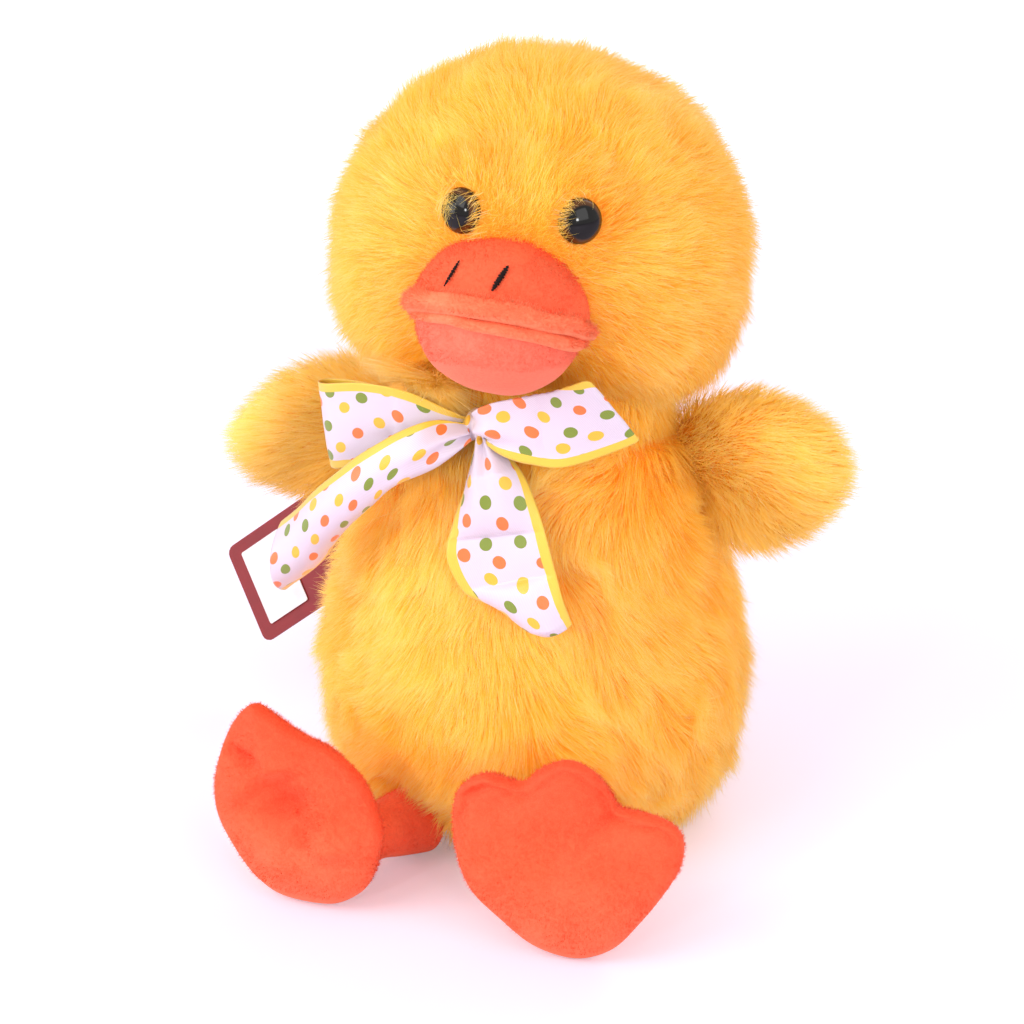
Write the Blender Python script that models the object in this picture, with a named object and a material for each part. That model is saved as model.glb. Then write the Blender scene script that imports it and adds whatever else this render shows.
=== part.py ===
# Plush duck sitting on its seat, facing -Y, with the floor at Z = 0.
# Lengths are metres and angles are degrees. Shares are parts of the named size they multiply.
import math

import bmesh
import bpy
import numpy as np
from mathutils import Matrix, Vector

# Fits
GAP = 0.0003
BALL_GAP = 0.0006
STITCH_SINK = 0.0004

# Body
BODY_HALF_WIDTH = 0.0800
BODY_HALF_DEPTH = 0.0735
SHOULDER_Z = 0.1400
BODY_PILE_AND_CLOTH = 0.0090
SEAT_PANEL_THICKNESS = 0.0040
BODY_PROFILE_SHARES = (
    (0.00, 0.760), (0.055, 0.840), (0.145, 0.930), (0.270, 0.985), (0.400, 1.000),
    (0.540, 0.965), (0.680, 0.905), (0.820, 0.842), (0.920, 0.785), (1.00, 0.722),
)
BODY_SEGMENTS = 28

# Neck, a ball of stuffing that the head sits on
NECK_RISE = 0.0220
NECK_PIVOT_Z = SHOULDER_Z + NECK_RISE
NECK_TILT = 12.0
NECK_BALL_RADIUS = 0.0400
NECK_SEAT_DROP = 0.0120
NECK_RIM_RADIUS = 0.0510
NECK_SEGMENTS = 24
NECK_RINGS = 8
NECK_CROWN_ANGLE = 78.0
SOCKET_RINGS = 13

# Head
HEAD_TURN_AT_REST = 12.0
HEAD_CENTRE_FORWARD = 0.0105
HEAD_CENTRE_RISE = 0.0496
HEAD_HALF_WIDTH = 0.0738
HEAD_HALF_DEPTH = 0.0718
HEAD_TOP_RISE = 0.0715
HEAD_RIM_RISE = 0.0060
CHEEK_DROP = 0.0075
HEAD_PILE_AND_CLOTH = 0.0090
HEAD_LOWER_SHARES = ((0.00, 0.690), (0.06, 0.820), (0.18, 0.910), (0.36, 0.970), (0.64, 1.000))
HEAD_UPPER_RINGS = 7
HEAD_SEGMENTS = 30
HEAD_CROWN_ANGLE = 80.0

# Bill
BILL_OFFSET_X = -0.0045
BILL_FORWARD = 0.0600
BILL_DROP = 0.0165
BILL_TILT = 13.0
BILL_ROLL = 9.0
BILL_YAW = -8.0
BILL_HALF_WIDTH = 0.0305
BILL_LENGTH = 0.0340
UPPER_BILL_HEIGHT = 0.0285
LOWER_BILL_HEIGHT = 0.0245
BILL_ROOT_DEPTH = 0.0120
LIP_RADIUS = 0.0030
LIP_OVERHANG = 0.0008
LIP_LENGTH_SHARE = 1.03
LOWER_BILL_SHARE = 0.93
BILL_SEGMENTS = 24
BILL_RINGS = 6
LIP_STATIONS = 19
LIP_SIDES = 7
NOSTRIL_HALF_LENGTH = 0.0056
NOSTRIL_HALF_WIDTH = 0.0013
NOSTRIL_SPREAD_SHARES = (-0.34, 0.20)
NOSTRIL_FORWARD_SHARE = 0.74
NOSTRIL_LEAN = 14.0
NOSTRIL_END_ANGLE = 60.0
NOSTRIL_RINGS = 5
NOSTRIL_SEGMENTS = 8

# Eyes
EYE_RADIUS = 0.0075
EYE_DOME_HEIGHT = 0.0050
EYE_EDGE = 0.0008
EYE_SPREAD = 0.0187
EYE_FORWARD = 0.0645
EYE_RISE = 0.0190
EYE_TURN = 30.0
EYE_SHANK_RADIUS = 0.0020
EYE_SHANK_LENGTH = 0.0095
WASHER_RADIUS = 0.0060
WASHER_THICKNESS = 0.0015
WASHER_SETBACK = 0.0060
EYE_DOME_ANGLES = (20.0, 40.0, 60.0, 80.0)
EYE_WELL_HEIGHT = 0.0150
EYE_SEGMENTS = 16

# Wings, each sewn to the side of the body along a straight seam
WING_SEAM_INSET = 0.0217
WING_SEAM_X = BODY_HALF_WIDTH - WING_SEAM_INSET
WING_SEAM_Y = 0.0080
WING_SEAM_DROP = 0.0050
WING_SEAM_Z = SHOULDER_Z - WING_SEAM_DROP
WING_SEAM_LEAN = 20.0
WING_LENGTH = 0.0540
WING_HALF_HEIGHT = 0.0300
WING_HALF_THICKNESS = 0.0165
LEFT_WING_FORWARD = 0.0
RIGHT_WING_FORWARD = 22.0
LEFT_WING_DROOP = 0.0
RIGHT_WING_DROOP = 14.0
WING_OUTLINE_SHARES = (
    (0.020, -0.90), (0.020, -0.55), (0.020, -0.15), (0.045, 0.25), (0.150, 0.55), (0.320, 0.77),
    (0.540, 0.86), (0.740, 0.72), (0.890, 0.46), (0.980, 0.12), (1.000, -0.22), (0.940, -0.58),
    (0.800, -0.86), (0.600, -1.06), (0.370, -1.19), (0.170, -1.19), (0.060, -1.10),
)
WING_MIDDLE_SHARES = (0.50, -0.20)
WING_LAYER_SHARES = (-0.98, -0.85, -0.60, -0.30, 0.0, 0.30, 0.60, 0.85, 0.98)
WING_WEDGE_SHARE = 0.60

# Legs and feet
HIP_SPREAD_SHARE = 0.40
HIP_INSET = 0.0175
HIP_X = HIP_SPREAD_SHARE * BODY_HALF_WIDTH
HIP_Y = HIP_INSET - BODY_HALF_DEPTH
HIP_Z = 0.0165
HIP_RADIUS = 0.0135
LEG_RADIUS = 0.0105
LEG_NECK_SHARE = 0.62
LEG_SEGMENTS = 14
HIP_RINGS = 5
HIP_LOW_ANGLE = -75.0
HIP_HIGH_ANGLE = 20.0
HIP_ROOM_RINGS = 9
FOOT_HALF_WIDTH = 0.0390
FOOT_HEIGHT = 0.0715
FOOT_HALF_THICKNESS = 0.0105
FOOT_LEAN_BACK = 5.0
FOOT_FLOOR_GAP = 0.0003
LEFT_HEEL_OUTWARD = 0.0190
LEFT_HEEL_REACH = 0.0295
LEFT_HEEL_X = HIP_X + LEFT_HEEL_OUTWARD
LEFT_HEEL_Y = -BODY_HALF_DEPTH - LEFT_HEEL_REACH
LEFT_FOOT_ROLL = 0.0
LEFT_FOOT_TURN = 8.0
RIGHT_HEEL_OUTWARD = 0.0188
RIGHT_HEEL_REACH = 0.0285
RIGHT_HEEL_X = -HIP_X - RIGHT_HEEL_OUTWARD
RIGHT_HEEL_Y = -BODY_HALF_DEPTH - RIGHT_HEEL_REACH
RIGHT_FOOT_ROLL = 0.0
RIGHT_FOOT_TURN = -2.0
LEFT_ANKLE_OUTWARD = 0.0160
RIGHT_ANKLE_OUTWARD = 0.0100
LEFT_ANKLE_X = HIP_X + LEFT_ANKLE_OUTWARD
RIGHT_ANKLE_X = -HIP_X - RIGHT_ANKLE_OUTWARD
ANKLE_RISE = 0.0200
LEFT_FOOT_OUTLINE_SHARES = (
    (-1.03, 0.82), (-0.82, 0.89), (-0.50, 0.865), (-0.34, 0.94), (-0.10, 1.00), (0.12, 0.96),
    (0.27, 0.88), (0.38, 0.79), (0.62, 0.77), (0.85, 0.73), (0.95, 0.65), (0.93, 0.52),
    (0.78, 0.36), (0.58, 0.20), (0.38, 0.07), (0.12, 0.00), (-0.13, 0.00), (-0.40, 0.05),
    (-0.67, 0.16), (-0.90, 0.27), (-1.03, 0.40), (-1.09, 0.56), (-1.10, 0.72),
)
RIGHT_FOOT_OUTLINE_SHARES = (
    (-0.47, 0.98), (-0.68, 0.89), (-0.79, 0.69), (-0.83, 0.52), (-0.80, 0.38), (-0.67, 0.25),
    (-0.48, 0.12), (-0.32, 0.05), (-0.15, 0.01), (0.07, 0.00), (0.31, 0.01), (0.48, 0.04),
    (0.67, 0.12), (0.76, 0.21), (0.81, 0.31), (0.83, 0.44), (0.76, 0.56), (0.65, 0.68),
    (0.49, 0.76), (0.29, 0.83), (0.09, 0.88), (-0.11, 0.93), (-0.30, 0.97),
)
FOOT_LAYER_SHARES = (-0.97, -0.80, -0.50, 0.0, 0.50, 0.80, 0.97)
FOOT_ROUNDNESS = 2.6

# Stuffing and pellets
PELLET_POUCH_HALF_WIDTH = 0.0460
PELLET_POUCH_HALF_HEIGHT = 0.0140
PELLET_POUCH_Z = 0.0240
POUCH_RINGS = 7
POUCH_SEGMENTS = 18

# Ribbon round the neck, tied in a bow
RIBBON_THICKNESS = 0.0008
BAND_HALF_HEIGHT = 0.0040
BAND_THICKNESS = 0.0032
BAND_CORNER_SHARES = (
    (-0.5, 0.15), (-0.5, 0.85), (-0.15, 1.0), (0.25, 0.9), (0.5, 0.5), (0.25, 0.1), (-0.15, 0.0),
)
KNOT_HALF_WIDTH = 0.0060
KNOT_HALF_HEIGHT = 0.0062
KNOT_HALF_DEPTH = 0.0070
KNOT_FORWARD = 0.0505
KNOT_RISE = -0.0058
KNOT_OFFSET_X = -0.0012
KNOT_RINGS = 7
KNOT_SEGMENTS = 14
KNOT_END_ANGLE = 67.5
BOW_REACH = 0.0500
RIBBON_ROWS = 4

# Edge points of the bow in shares of its reach, measured from the middle of the knot
LEFT_LOOP_UPPER_SHARES = (
    (0.07, -0.03, 0.05), (0.20, -0.12, 0.13), (0.46, -0.24, 0.25), (0.66, -0.29, 0.39),
    (0.77, -0.24, 0.43), (0.81, -0.17, 0.43), (0.74, -0.13, 0.40), (0.58, -0.11, 0.29),
    (0.36, -0.04, 0.17), (0.09, 0.03, 0.04),
)
LEFT_LOOP_LOWER_SHARES = (
    (0.07, -0.03, -0.06), (0.22, -0.13, -0.12), (0.46, -0.25, -0.14), (0.76, -0.27, -0.10),
    (1.04, -0.20, 0.03), (1.12, -0.12, 0.08), (1.03, -0.08, 0.07), (0.74, -0.05, -0.03),
    (0.42, -0.01, -0.08), (0.09, 0.03, -0.05),
)
RIGHT_LOOP_UPPER_SHARES = (
    (-0.07, -0.03, 0.05), (-0.26, -0.11, 0.11), (-0.56, -0.16, 0.21), (-0.84, -0.12, 0.22),
    (-1.06, -0.03, 0.17), (-1.16, 0.05, 0.14), (-1.10, 0.09, 0.15), (-0.80, 0.03, 0.17),
    (-0.46, 0.00, 0.11), (-0.09, 0.04, 0.04),
)
RIGHT_LOOP_LOWER_SHARES = (
    (-0.07, -0.03, -0.05), (-0.26, -0.13, -0.12), (-0.50, -0.20, -0.18), (-0.78, -0.15, -0.28),
    (-1.00, -0.06, -0.40), (-1.12, 0.01, -0.50), (-1.04, 0.05, -0.44), (-0.76, 0.00, -0.30),
    (-0.46, -0.01, -0.17), (-0.09, 0.04, -0.04),
)
LEFT_TAIL_UPPER_SHARES = (
    (-0.02, -0.05, -0.09), (-0.07, -0.17, -0.36), (-0.14, -0.26, -0.68), (-0.12, -0.33, -0.94),
    (0.05, -0.36, -1.13),
)
LEFT_TAIL_LOWER_SHARES = (
    (0.06, -0.05, -0.07), (0.37, -0.15, -0.26), (0.53, -0.25, -0.60), (0.67, -0.33, -0.92),
    (0.78, -0.36, -1.23),
)
RIGHT_TAIL_UPPER_SHARES = (
    (-0.06, -0.10, -0.02), (-0.38, -0.25, -0.05), (-0.74, -0.27, -0.22), (-1.12, -0.14, -0.55),
    (-1.50, 0.02, -0.96),
)
RIGHT_TAIL_LOWER_SHARES = (
    (-0.04, -0.10, -0.08), (-0.40, -0.28, -0.26), (-0.78, -0.31, -0.62), (-1.06, -0.22, -1.02),
    (-1.42, -0.05, -1.36),
)

# Card tag on a nylon loop at the right side seam
TAG_LENGTH = 0.0520
TAG_WIDTH = 0.0425
TAG_THICKNESS = 0.0008
TAG_CORNER_RADIUS = 0.0035
TAG_HOLE_RADIUS = 0.0022
TAG_HOLE_INSET = 0.0060
TAG_SEAM_WIDTH_SHARE = 0.56
TAG_SEAM_DEPTH_SHARE = 0.6912
TAG_SEAM_X = -TAG_SEAM_WIDTH_SHARE * BODY_HALF_WIDTH
TAG_SEAM_Y = TAG_SEAM_DEPTH_SHARE * BODY_HALF_DEPTH
TAG_SEAM_DROP = 0.0400
TAG_SEAM_Z = SHOULDER_Z - TAG_SEAM_DROP
TAG_HOLE_OUTWARD = 0.0558
TAG_HOLE_FORWARD = 0.0028
TAG_HOLE_DROP = 0.0362
TAG_HOLE_X = TAG_SEAM_X - TAG_HOLE_OUTWARD
TAG_HOLE_Y = TAG_SEAM_Y - TAG_HOLE_FORWARD
TAG_HOLE_Z = TAG_SEAM_Z - TAG_HOLE_DROP
TAG_HANG = 44.0
TAG_LEAN_BACK = 25.0
TAG_TURN = -15.0
LABEL_LENGTH = 0.0200
LABEL_WIDTH = 0.0320
LABEL_THICKNESS = 0.0004
LABEL_INSET = 0.0060
LOOP_CORD_RADIUS = 0.0005
LOOP_HALF_WIDTH = 0.0014
LOOP_SEGMENTS = 18
CORD_SEGMENTS = 6

CORNER_STEPS = 5
QUARTER_TURN = 90.0
SMOOTH_ANGLE = 50.0
FULL_TURN = 2.0 * math.pi


# The scene starts empty.
def clear_scene():
    for thing in list(bpy.data.objects):
        bpy.data.objects.remove(thing)


# Materials
def make_material(name, colour, roughness):
    material = bpy.data.materials.new(name)
    material.use_nodes = True
    surface = material.node_tree.nodes["Principled BSDF"]
    surface.inputs["Base Color"].default_value = (*colour, 1.0)
    surface.inputs["Roughness"].default_value = roughness
    surface.inputs["Metallic"].default_value = 0.0
    return material


def make_materials():
    return {
        "yellow_fur": make_material("yellow_fur", (0.98, 0.50, 0.04), 0.95),
        "orange_plush": make_material("orange_plush", (0.98, 0.14, 0.04), 0.85),
        "salmon_plush": make_material("salmon_plush", (0.98, 0.20, 0.12), 0.85),
        "white_filling": make_material("white_filling", (0.88, 0.87, 0.84), 0.95),
        "pouch_cloth": make_material("pouch_cloth", (0.78, 0.76, 0.70), 0.9),
        "seat_cloth": make_material("seat_cloth", (0.95, 0.46, 0.05), 0.95),
        "eye_plastic": make_material("eye_plastic", (0.05, 0.02, 0.01), 0.08),
        "washer_plastic": make_material("washer_plastic", (0.85, 0.85, 0.83), 0.4),
        "black_thread": make_material("black_thread", (0.02, 0.01, 0.01), 0.6),
        "satin_ribbon": make_material("satin_ribbon", (0.88, 0.84, 0.92), 0.35),
        "red_card": make_material("red_card", (0.38, 0.02, 0.03), 0.4),
        "pale_label": make_material("pale_label", (0.82, 0.78, 0.80), 0.45),
        "clear_nylon": make_material("clear_nylon", (0.85, 0.85, 0.87), 0.3),
    }


# A closed solid from a stack of rings, with the two ends filled
def add_solid(name, rings, material, place, end_points=None):
    mesh = bpy.data.meshes.new(name)
    model = bmesh.new()
    rows = [[model.verts.new(point) for point in ring] for ring in rings]
    for lower, upper in zip(rows[:-1], rows[1:]):
        join_rows(model, lower, upper)
    if end_points is None:
        model.faces.new(list(reversed(rows[0])))
        model.faces.new(rows[-1])
    else:
        close_with_point(model, rows[0], end_points[0], True)
        close_with_point(model, rows[-1], end_points[1], False)
    return finish_mesh(name, mesh, model, material, place)


def join_rows(model, lower, upper):
    count = len(lower)
    for index in range(count):
        after = (index + 1) % count
        model.faces.new((lower[index], lower[after], upper[after], upper[index]))


def close_with_point(model, row, point, below):
    tip = model.verts.new(point)
    count = len(row)
    for index in range(count):
        after = (index + 1) % count
        if below:
            model.faces.new((row[after], row[index], tip))
        else:
            model.faces.new((row[index], row[after], tip))


# A closed shell that runs up the outside and back down the inside, so that its two ends meet
def add_ring_shell(name, rings, material, place):
    mesh = bpy.data.meshes.new(name)
    model = bmesh.new()
    rows = [[model.verts.new(point) for point in ring] for ring in rings]
    for lower, upper in zip(rows, rows[1:] + rows[:1]):
        join_rows(model, lower, upper)
    return finish_mesh(name, mesh, model, material, place)


# A cup-like cover: the outside up to its crown, and the inside from its own crown down to the rim
def add_cover(name, outer, outer_tip, inner, inner_tip, material, place):
    mesh = bpy.data.meshes.new(name)
    model = bmesh.new()
    outside = [[model.verts.new(point) for point in ring] for ring in outer]
    inside = [[model.verts.new(point) for point in ring] for ring in inner]
    for lower, upper in zip(outside[:-1], outside[1:]):
        join_rows(model, lower, upper)
    for lower, upper in zip(inside[:-1], inside[1:]):
        join_rows(model, upper, lower)
    join_rows(model, inside[0], outside[0])
    close_with_point(model, outside[-1], outer_tip, False)
    close_with_point(model, inside[-1], inner_tip, True)
    return finish_mesh(name, mesh, model, material, place)


def finish_mesh(name, mesh, model, material, place):
    bmesh.ops.recalc_face_normals(model, faces=model.faces)
    model.to_mesh(mesh)
    model.free()
    mesh.materials.append(material)
    for polygon in mesh.polygons:
        polygon.use_smooth = True
    mesh.set_sharp_from_angle(angle=math.radians(SMOOTH_ANGLE))
    thing = bpy.data.objects.new(name, mesh)
    thing.matrix_world = place
    bpy.context.collection.objects.link(thing)
    return thing


# A cutter is a guide: it is drawn as wire and never rendered.
def mark_as_cutter(thing):
    thing.hide_render = True
    thing.display_type = "WIRE"
    return thing


def cut_away(thing, cutter):
    modifier = thing.modifiers.new("cut by " + cutter.name, "BOOLEAN")
    modifier.operation = "DIFFERENCE"
    modifier.solver = "EXACT"
    modifier.object = cutter


def circle_points(half_width, half_depth, height, segments, centre_y=0.0, tilt=0.0):
    turns = np.linspace(0.0, FULL_TURN, segments, endpoint=False)
    slope = math.tan(math.radians(tilt))
    points = []
    for turn in turns:
        across = half_width * math.cos(turn)
        along = half_depth * math.sin(turn)
        points.append((across, centre_y + along, height - along * slope))
    return points


# Ball and lathe shapes about their own Z axis
def ball_rings(radius, rings, segments, low_angle=-90.0, high_angle=90.0):
    angles = np.radians(np.linspace(low_angle, high_angle, rings))
    rows = []
    for angle in angles:
        round_radius = radius * math.cos(angle)
        rows.append(circle_points(round_radius, round_radius, radius * math.sin(angle), segments))
    return rows


def add_ball(name, radius, rings, segments, material, place):
    step = 180.0 / (rings + 1)
    rows = ball_rings(radius, rings, segments, step - 90.0, 90.0 - step)
    return add_solid(name, rows, material, place, ((0.0, 0.0, -radius), (0.0, 0.0, radius)))


def add_lathe(name, profile, segments, material, place):
    rows = [circle_points(radius, radius, height, segments) for radius, height in profile]
    return add_solid(name, rows, material, place)


def add_tube(name, inner_radius, outer_radius, low, high, segments, material, place):
    corners = ((outer_radius, low), (outer_radius, high), (inner_radius, high), (inner_radius, low))
    rows = [circle_points(radius, radius, height, segments) for radius, height in corners]
    return add_ring_shell(name, rows, material, place)


# Places
def neck_place():
    return Matrix.Translation((0.0, 0.0, NECK_PIVOT_Z)) @ Matrix.Rotation(math.radians(-NECK_TILT), 4, "X")


def head_place():
    return neck_place() @ Matrix.Rotation(math.radians(HEAD_TURN_AT_REST), 4, "Z")


def head_centre():
    return Vector((0.0, -HEAD_CENTRE_FORWARD, HEAD_CENTRE_RISE))


def bill_place():
    offset = head_centre() + Vector((BILL_OFFSET_X, -BILL_FORWARD, -BILL_DROP))
    tilt = Matrix.Rotation(math.radians(-BILL_TILT), 4, "X")
    roll = Matrix.Rotation(math.radians(BILL_ROLL), 4, "Y")
    yaw = Matrix.Rotation(math.radians(BILL_YAW), 4, "Z")
    return head_place() @ Matrix.Translation(offset) @ yaw @ tilt @ roll


def eye_place(side):
    offset = head_centre() + Vector((side * EYE_SPREAD, -EYE_FORWARD, EYE_RISE))
    turn = Matrix.Rotation(math.radians(side * EYE_TURN), 4, "Z")
    face_forward = Matrix.Rotation(math.radians(90.0), 4, "X")
    return head_place() @ Matrix.Translation(offset) @ turn @ face_forward


# Body: the rings lean with the neck towards the top.
def body_width_share(height_share):
    heights = [share for share, width in BODY_PROFILE_SHARES]
    widths = [width for share, width in BODY_PROFILE_SHARES]
    return float(np.interp(height_share, heights, widths))


def body_rings(inset, lift=0.0):
    rings = []
    depth_share = BODY_HALF_DEPTH / BODY_HALF_WIDTH
    lowest_share = lift / SHOULDER_Z
    height_shares = [lowest_share] + [share for share, width in BODY_PROFILE_SHARES if share > lowest_share]
    for height_share in height_shares:
        half_width = BODY_HALF_WIDTH * body_width_share(height_share)
        tilt = NECK_TILT * max(0.0, 2.0 * height_share - 1.0) ** 2
        height = SHOULDER_Z * height_share
        half_depth = half_width * depth_share
        rings.append(circle_points(half_width - inset, half_depth - inset, height, BODY_SEGMENTS, 0.0, tilt))
    return rings


def neck_rim_ring(radius, rise):
    place = neck_place()
    height = -NECK_SEAT_DROP - GAP + rise
    flat = circle_points(radius, radius, height, BODY_SEGMENTS)
    return [tuple(place @ Vector(point)) for point in flat]


def make_body(materials):
    parts = {}
    still = Matrix.Identity(4)
    outside = body_rings(0.0)
    outside.append(neck_rim_ring(NECK_RIM_RADIUS, 0.0))
    inner_radius = NECK_RIM_RADIUS - BODY_PILE_AND_CLOTH
    inside = body_rings(BODY_PILE_AND_CLOTH)
    inside.append(neck_rim_ring(inner_radius, 0.0))
    parts["cover"] = add_ring_shell("body_cover", outside + inside[::-1], materials["yellow_fur"], still)

    seat_inset = BODY_PILE_AND_CLOTH + GAP
    bottom_half_width = BODY_HALF_WIDTH * BODY_PROFILE_SHARES[0][1] - seat_inset
    bottom_half_depth = BODY_HALF_DEPTH * BODY_PROFILE_SHARES[0][1] - seat_inset
    panel_rows = [
        circle_points(bottom_half_width, bottom_half_depth, height, BODY_SEGMENTS)
        for height in (0.0, SEAT_PANEL_THICKNESS)
    ]
    add_solid("seat_panel", panel_rows, materials["seat_cloth"], still)

    filling = body_rings(BODY_PILE_AND_CLOTH + GAP, SEAT_PANEL_THICKNESS + GAP)
    filling.append(neck_rim_ring(inner_radius - GAP, 0.0))
    parts["filling"] = add_solid("body_stuffing", filling, materials["white_filling"], still)

    pouch_place = Matrix.Translation((0.0, 0.0, PELLET_POUCH_Z))
    squash = Matrix.Diagonal((1.0, 1.0, PELLET_POUCH_HALF_HEIGHT / PELLET_POUCH_HALF_WIDTH, 1.0))
    add_ball_squashed("pellet_pouch", PELLET_POUCH_HALF_WIDTH, squash, materials["pouch_cloth"], pouch_place)
    room = PELLET_POUCH_HALF_WIDTH + GAP
    bigger = Matrix.Diagonal((1.0, 1.0, (PELLET_POUCH_HALF_HEIGHT + GAP) / room, 1.0))
    hollow = add_ball_squashed("pouch_room", room, bigger, materials["pouch_cloth"], pouch_place)
    way_in = add_lathe(
        "pouch_way_in",
        ((EYE_RADIUS, -PELLET_POUCH_Z), (EYE_RADIUS, 0.0)),
        EYE_SEGMENTS,
        materials["pouch_cloth"],
        pouch_place,
    )
    cut_away(parts["filling"], mark_as_cutter(hollow))
    cut_away(parts["filling"], mark_as_cutter(way_in))
    return parts


def add_closed_body(name, inset, material):
    rows = body_rings(inset)
    rows.append(neck_rim_ring(NECK_RIM_RADIUS - inset, -inset))
    return add_solid(name, rows, material, Matrix.Identity(4))


def add_ball_squashed(name, radius, squash, material, place):
    step = 180.0 / (POUCH_RINGS + 1)
    rows = ball_rings(radius, POUCH_RINGS, POUCH_SEGMENTS, step - 90.0, 90.0 - step)
    rows = [[tuple(squash @ Vector(point)) for point in row] for row in rows]
    tips = (tuple(squash @ Vector((0.0, 0.0, -radius))), tuple(squash @ Vector((0.0, 0.0, radius))))
    return add_solid(name, rows, material, place, tips)


# Neck: a ball of stuffing cut flat where it meets the stuffing of the body
def make_neck(materials):
    low_angle = -math.degrees(math.asin(NECK_SEAT_DROP / NECK_BALL_RADIUS))
    rows = ball_rings(NECK_BALL_RADIUS, NECK_RINGS, NECK_SEGMENTS, low_angle, NECK_CROWN_ANGLE)
    tip_ring = rows[0]
    centre = Vector((0.0, 0.0, tip_ring[0][2]))
    crown = (0.0, 0.0, NECK_BALL_RADIUS)
    return add_solid("neck_stuffing", rows, materials["white_filling"], neck_place(), (tuple(centre), crown))


# Head
def head_rings(inset):
    rings = []
    drop = HEAD_CENTRE_RISE - HEAD_RIM_RISE
    for height_share, width_share in HEAD_LOWER_SHARES:
        centre_y = -HEAD_CENTRE_FORWARD * height_share
        height = HEAD_RIM_RISE + drop * height_share
        if height_share > 0.0:
            height += inset * (1.0 - height_share)
        half_width = HEAD_HALF_WIDTH * width_share - inset
        half_depth = HEAD_HALF_DEPTH * width_share - inset
        cheek_drop = CHEEK_DROP * (1.0 - height_share) ** 2
        flat = circle_points(half_width, half_depth, height, HEAD_SEGMENTS, centre_y)
        rings.append([(x, y, z - cheek_drop * (x / half_width) ** 2) for x, y, z in flat])
    crown = HEAD_TOP_RISE - inset
    for angle in np.radians(np.linspace(0.0, HEAD_CROWN_ANGLE, HEAD_UPPER_RINGS)):
        half_width = (HEAD_HALF_WIDTH - inset) * math.cos(angle)
        half_depth = (HEAD_HALF_DEPTH - inset) * math.cos(angle)
        height = HEAD_CENTRE_RISE + crown * math.sin(angle)
        rings.append(circle_points(half_width, half_depth, height, HEAD_SEGMENTS, -HEAD_CENTRE_FORWARD))
    return rings, (0.0, -HEAD_CENTRE_FORWARD, HEAD_CENTRE_RISE + crown)


def make_head(materials):
    parts = {}
    outer, outer_tip = head_rings(0.0)
    inner, inner_tip = head_rings(HEAD_PILE_AND_CLOTH)
    parts["cover"] = add_cover(
        "head_cover", outer, outer_tip, inner, inner_tip, materials["yellow_fur"], head_place()
    )
    filling, filling_tip = head_rings(HEAD_PILE_AND_CLOTH + GAP)
    base = (0.0, 0.0, HEAD_RIM_RISE)
    parts["filling"] = add_solid(
        "head_stuffing", filling, materials["white_filling"], head_place(), (base, filling_tip)
    )
    socket_radius = NECK_BALL_RADIUS + BALL_GAP
    filling_material = materials["white_filling"]
    socket = add_ball("neck_socket", socket_radius, SOCKET_RINGS, NECK_SEGMENTS,
                      filling_material, head_place())
    mark_as_cutter(socket)
    cut_away(parts["cover"], socket)
    cut_away(parts["filling"], socket)
    return parts


# Bill: two domes of plush with a rolled lip on each, sewn round the front of the face
def bill_dome_rings(width, length, height, root_depth, side):
    rings = []
    for level in range(BILL_RINGS):
        angle = 0.5 * math.pi * level / BILL_RINGS
        shrink = math.cos(angle)
        rise = side * height * math.sin(angle)
        ring = []
        for turn in np.linspace(0.0, FULL_TURN, BILL_SEGMENTS, endpoint=False):
            across = width * math.cos(turn) * shrink
            along = math.sin(turn)
            reach = length if along < 0.0 else root_depth
            ring.append((across, reach * along * shrink, rise))
        rings.append(ring)
    return rings, (0.0, 0.0, side * height)


def raise_rings(rings, amount):
    return [[(x, y, z + amount) for x, y, z in ring] for ring in rings]


def make_lip(name, half_width, length, radius, height, material):
    rows = []
    for turn in np.linspace(-math.pi, 0.0, LIP_STATIONS):
        centre = Vector((half_width * math.cos(turn), length * math.sin(turn), height))
        outward = Vector((math.cos(turn) / half_width, math.sin(turn) / length, 0.0)).normalized()
        ring = []
        for step in np.linspace(0.0, FULL_TURN, LIP_SIDES, endpoint=False):
            offset = outward * (radius * math.cos(step))
            ring.append(tuple(centre + offset + Vector((0.0, 0.0, radius * math.sin(step)))))
        rows.append(ring)
    return add_solid(name, rows, material, bill_place())


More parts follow.
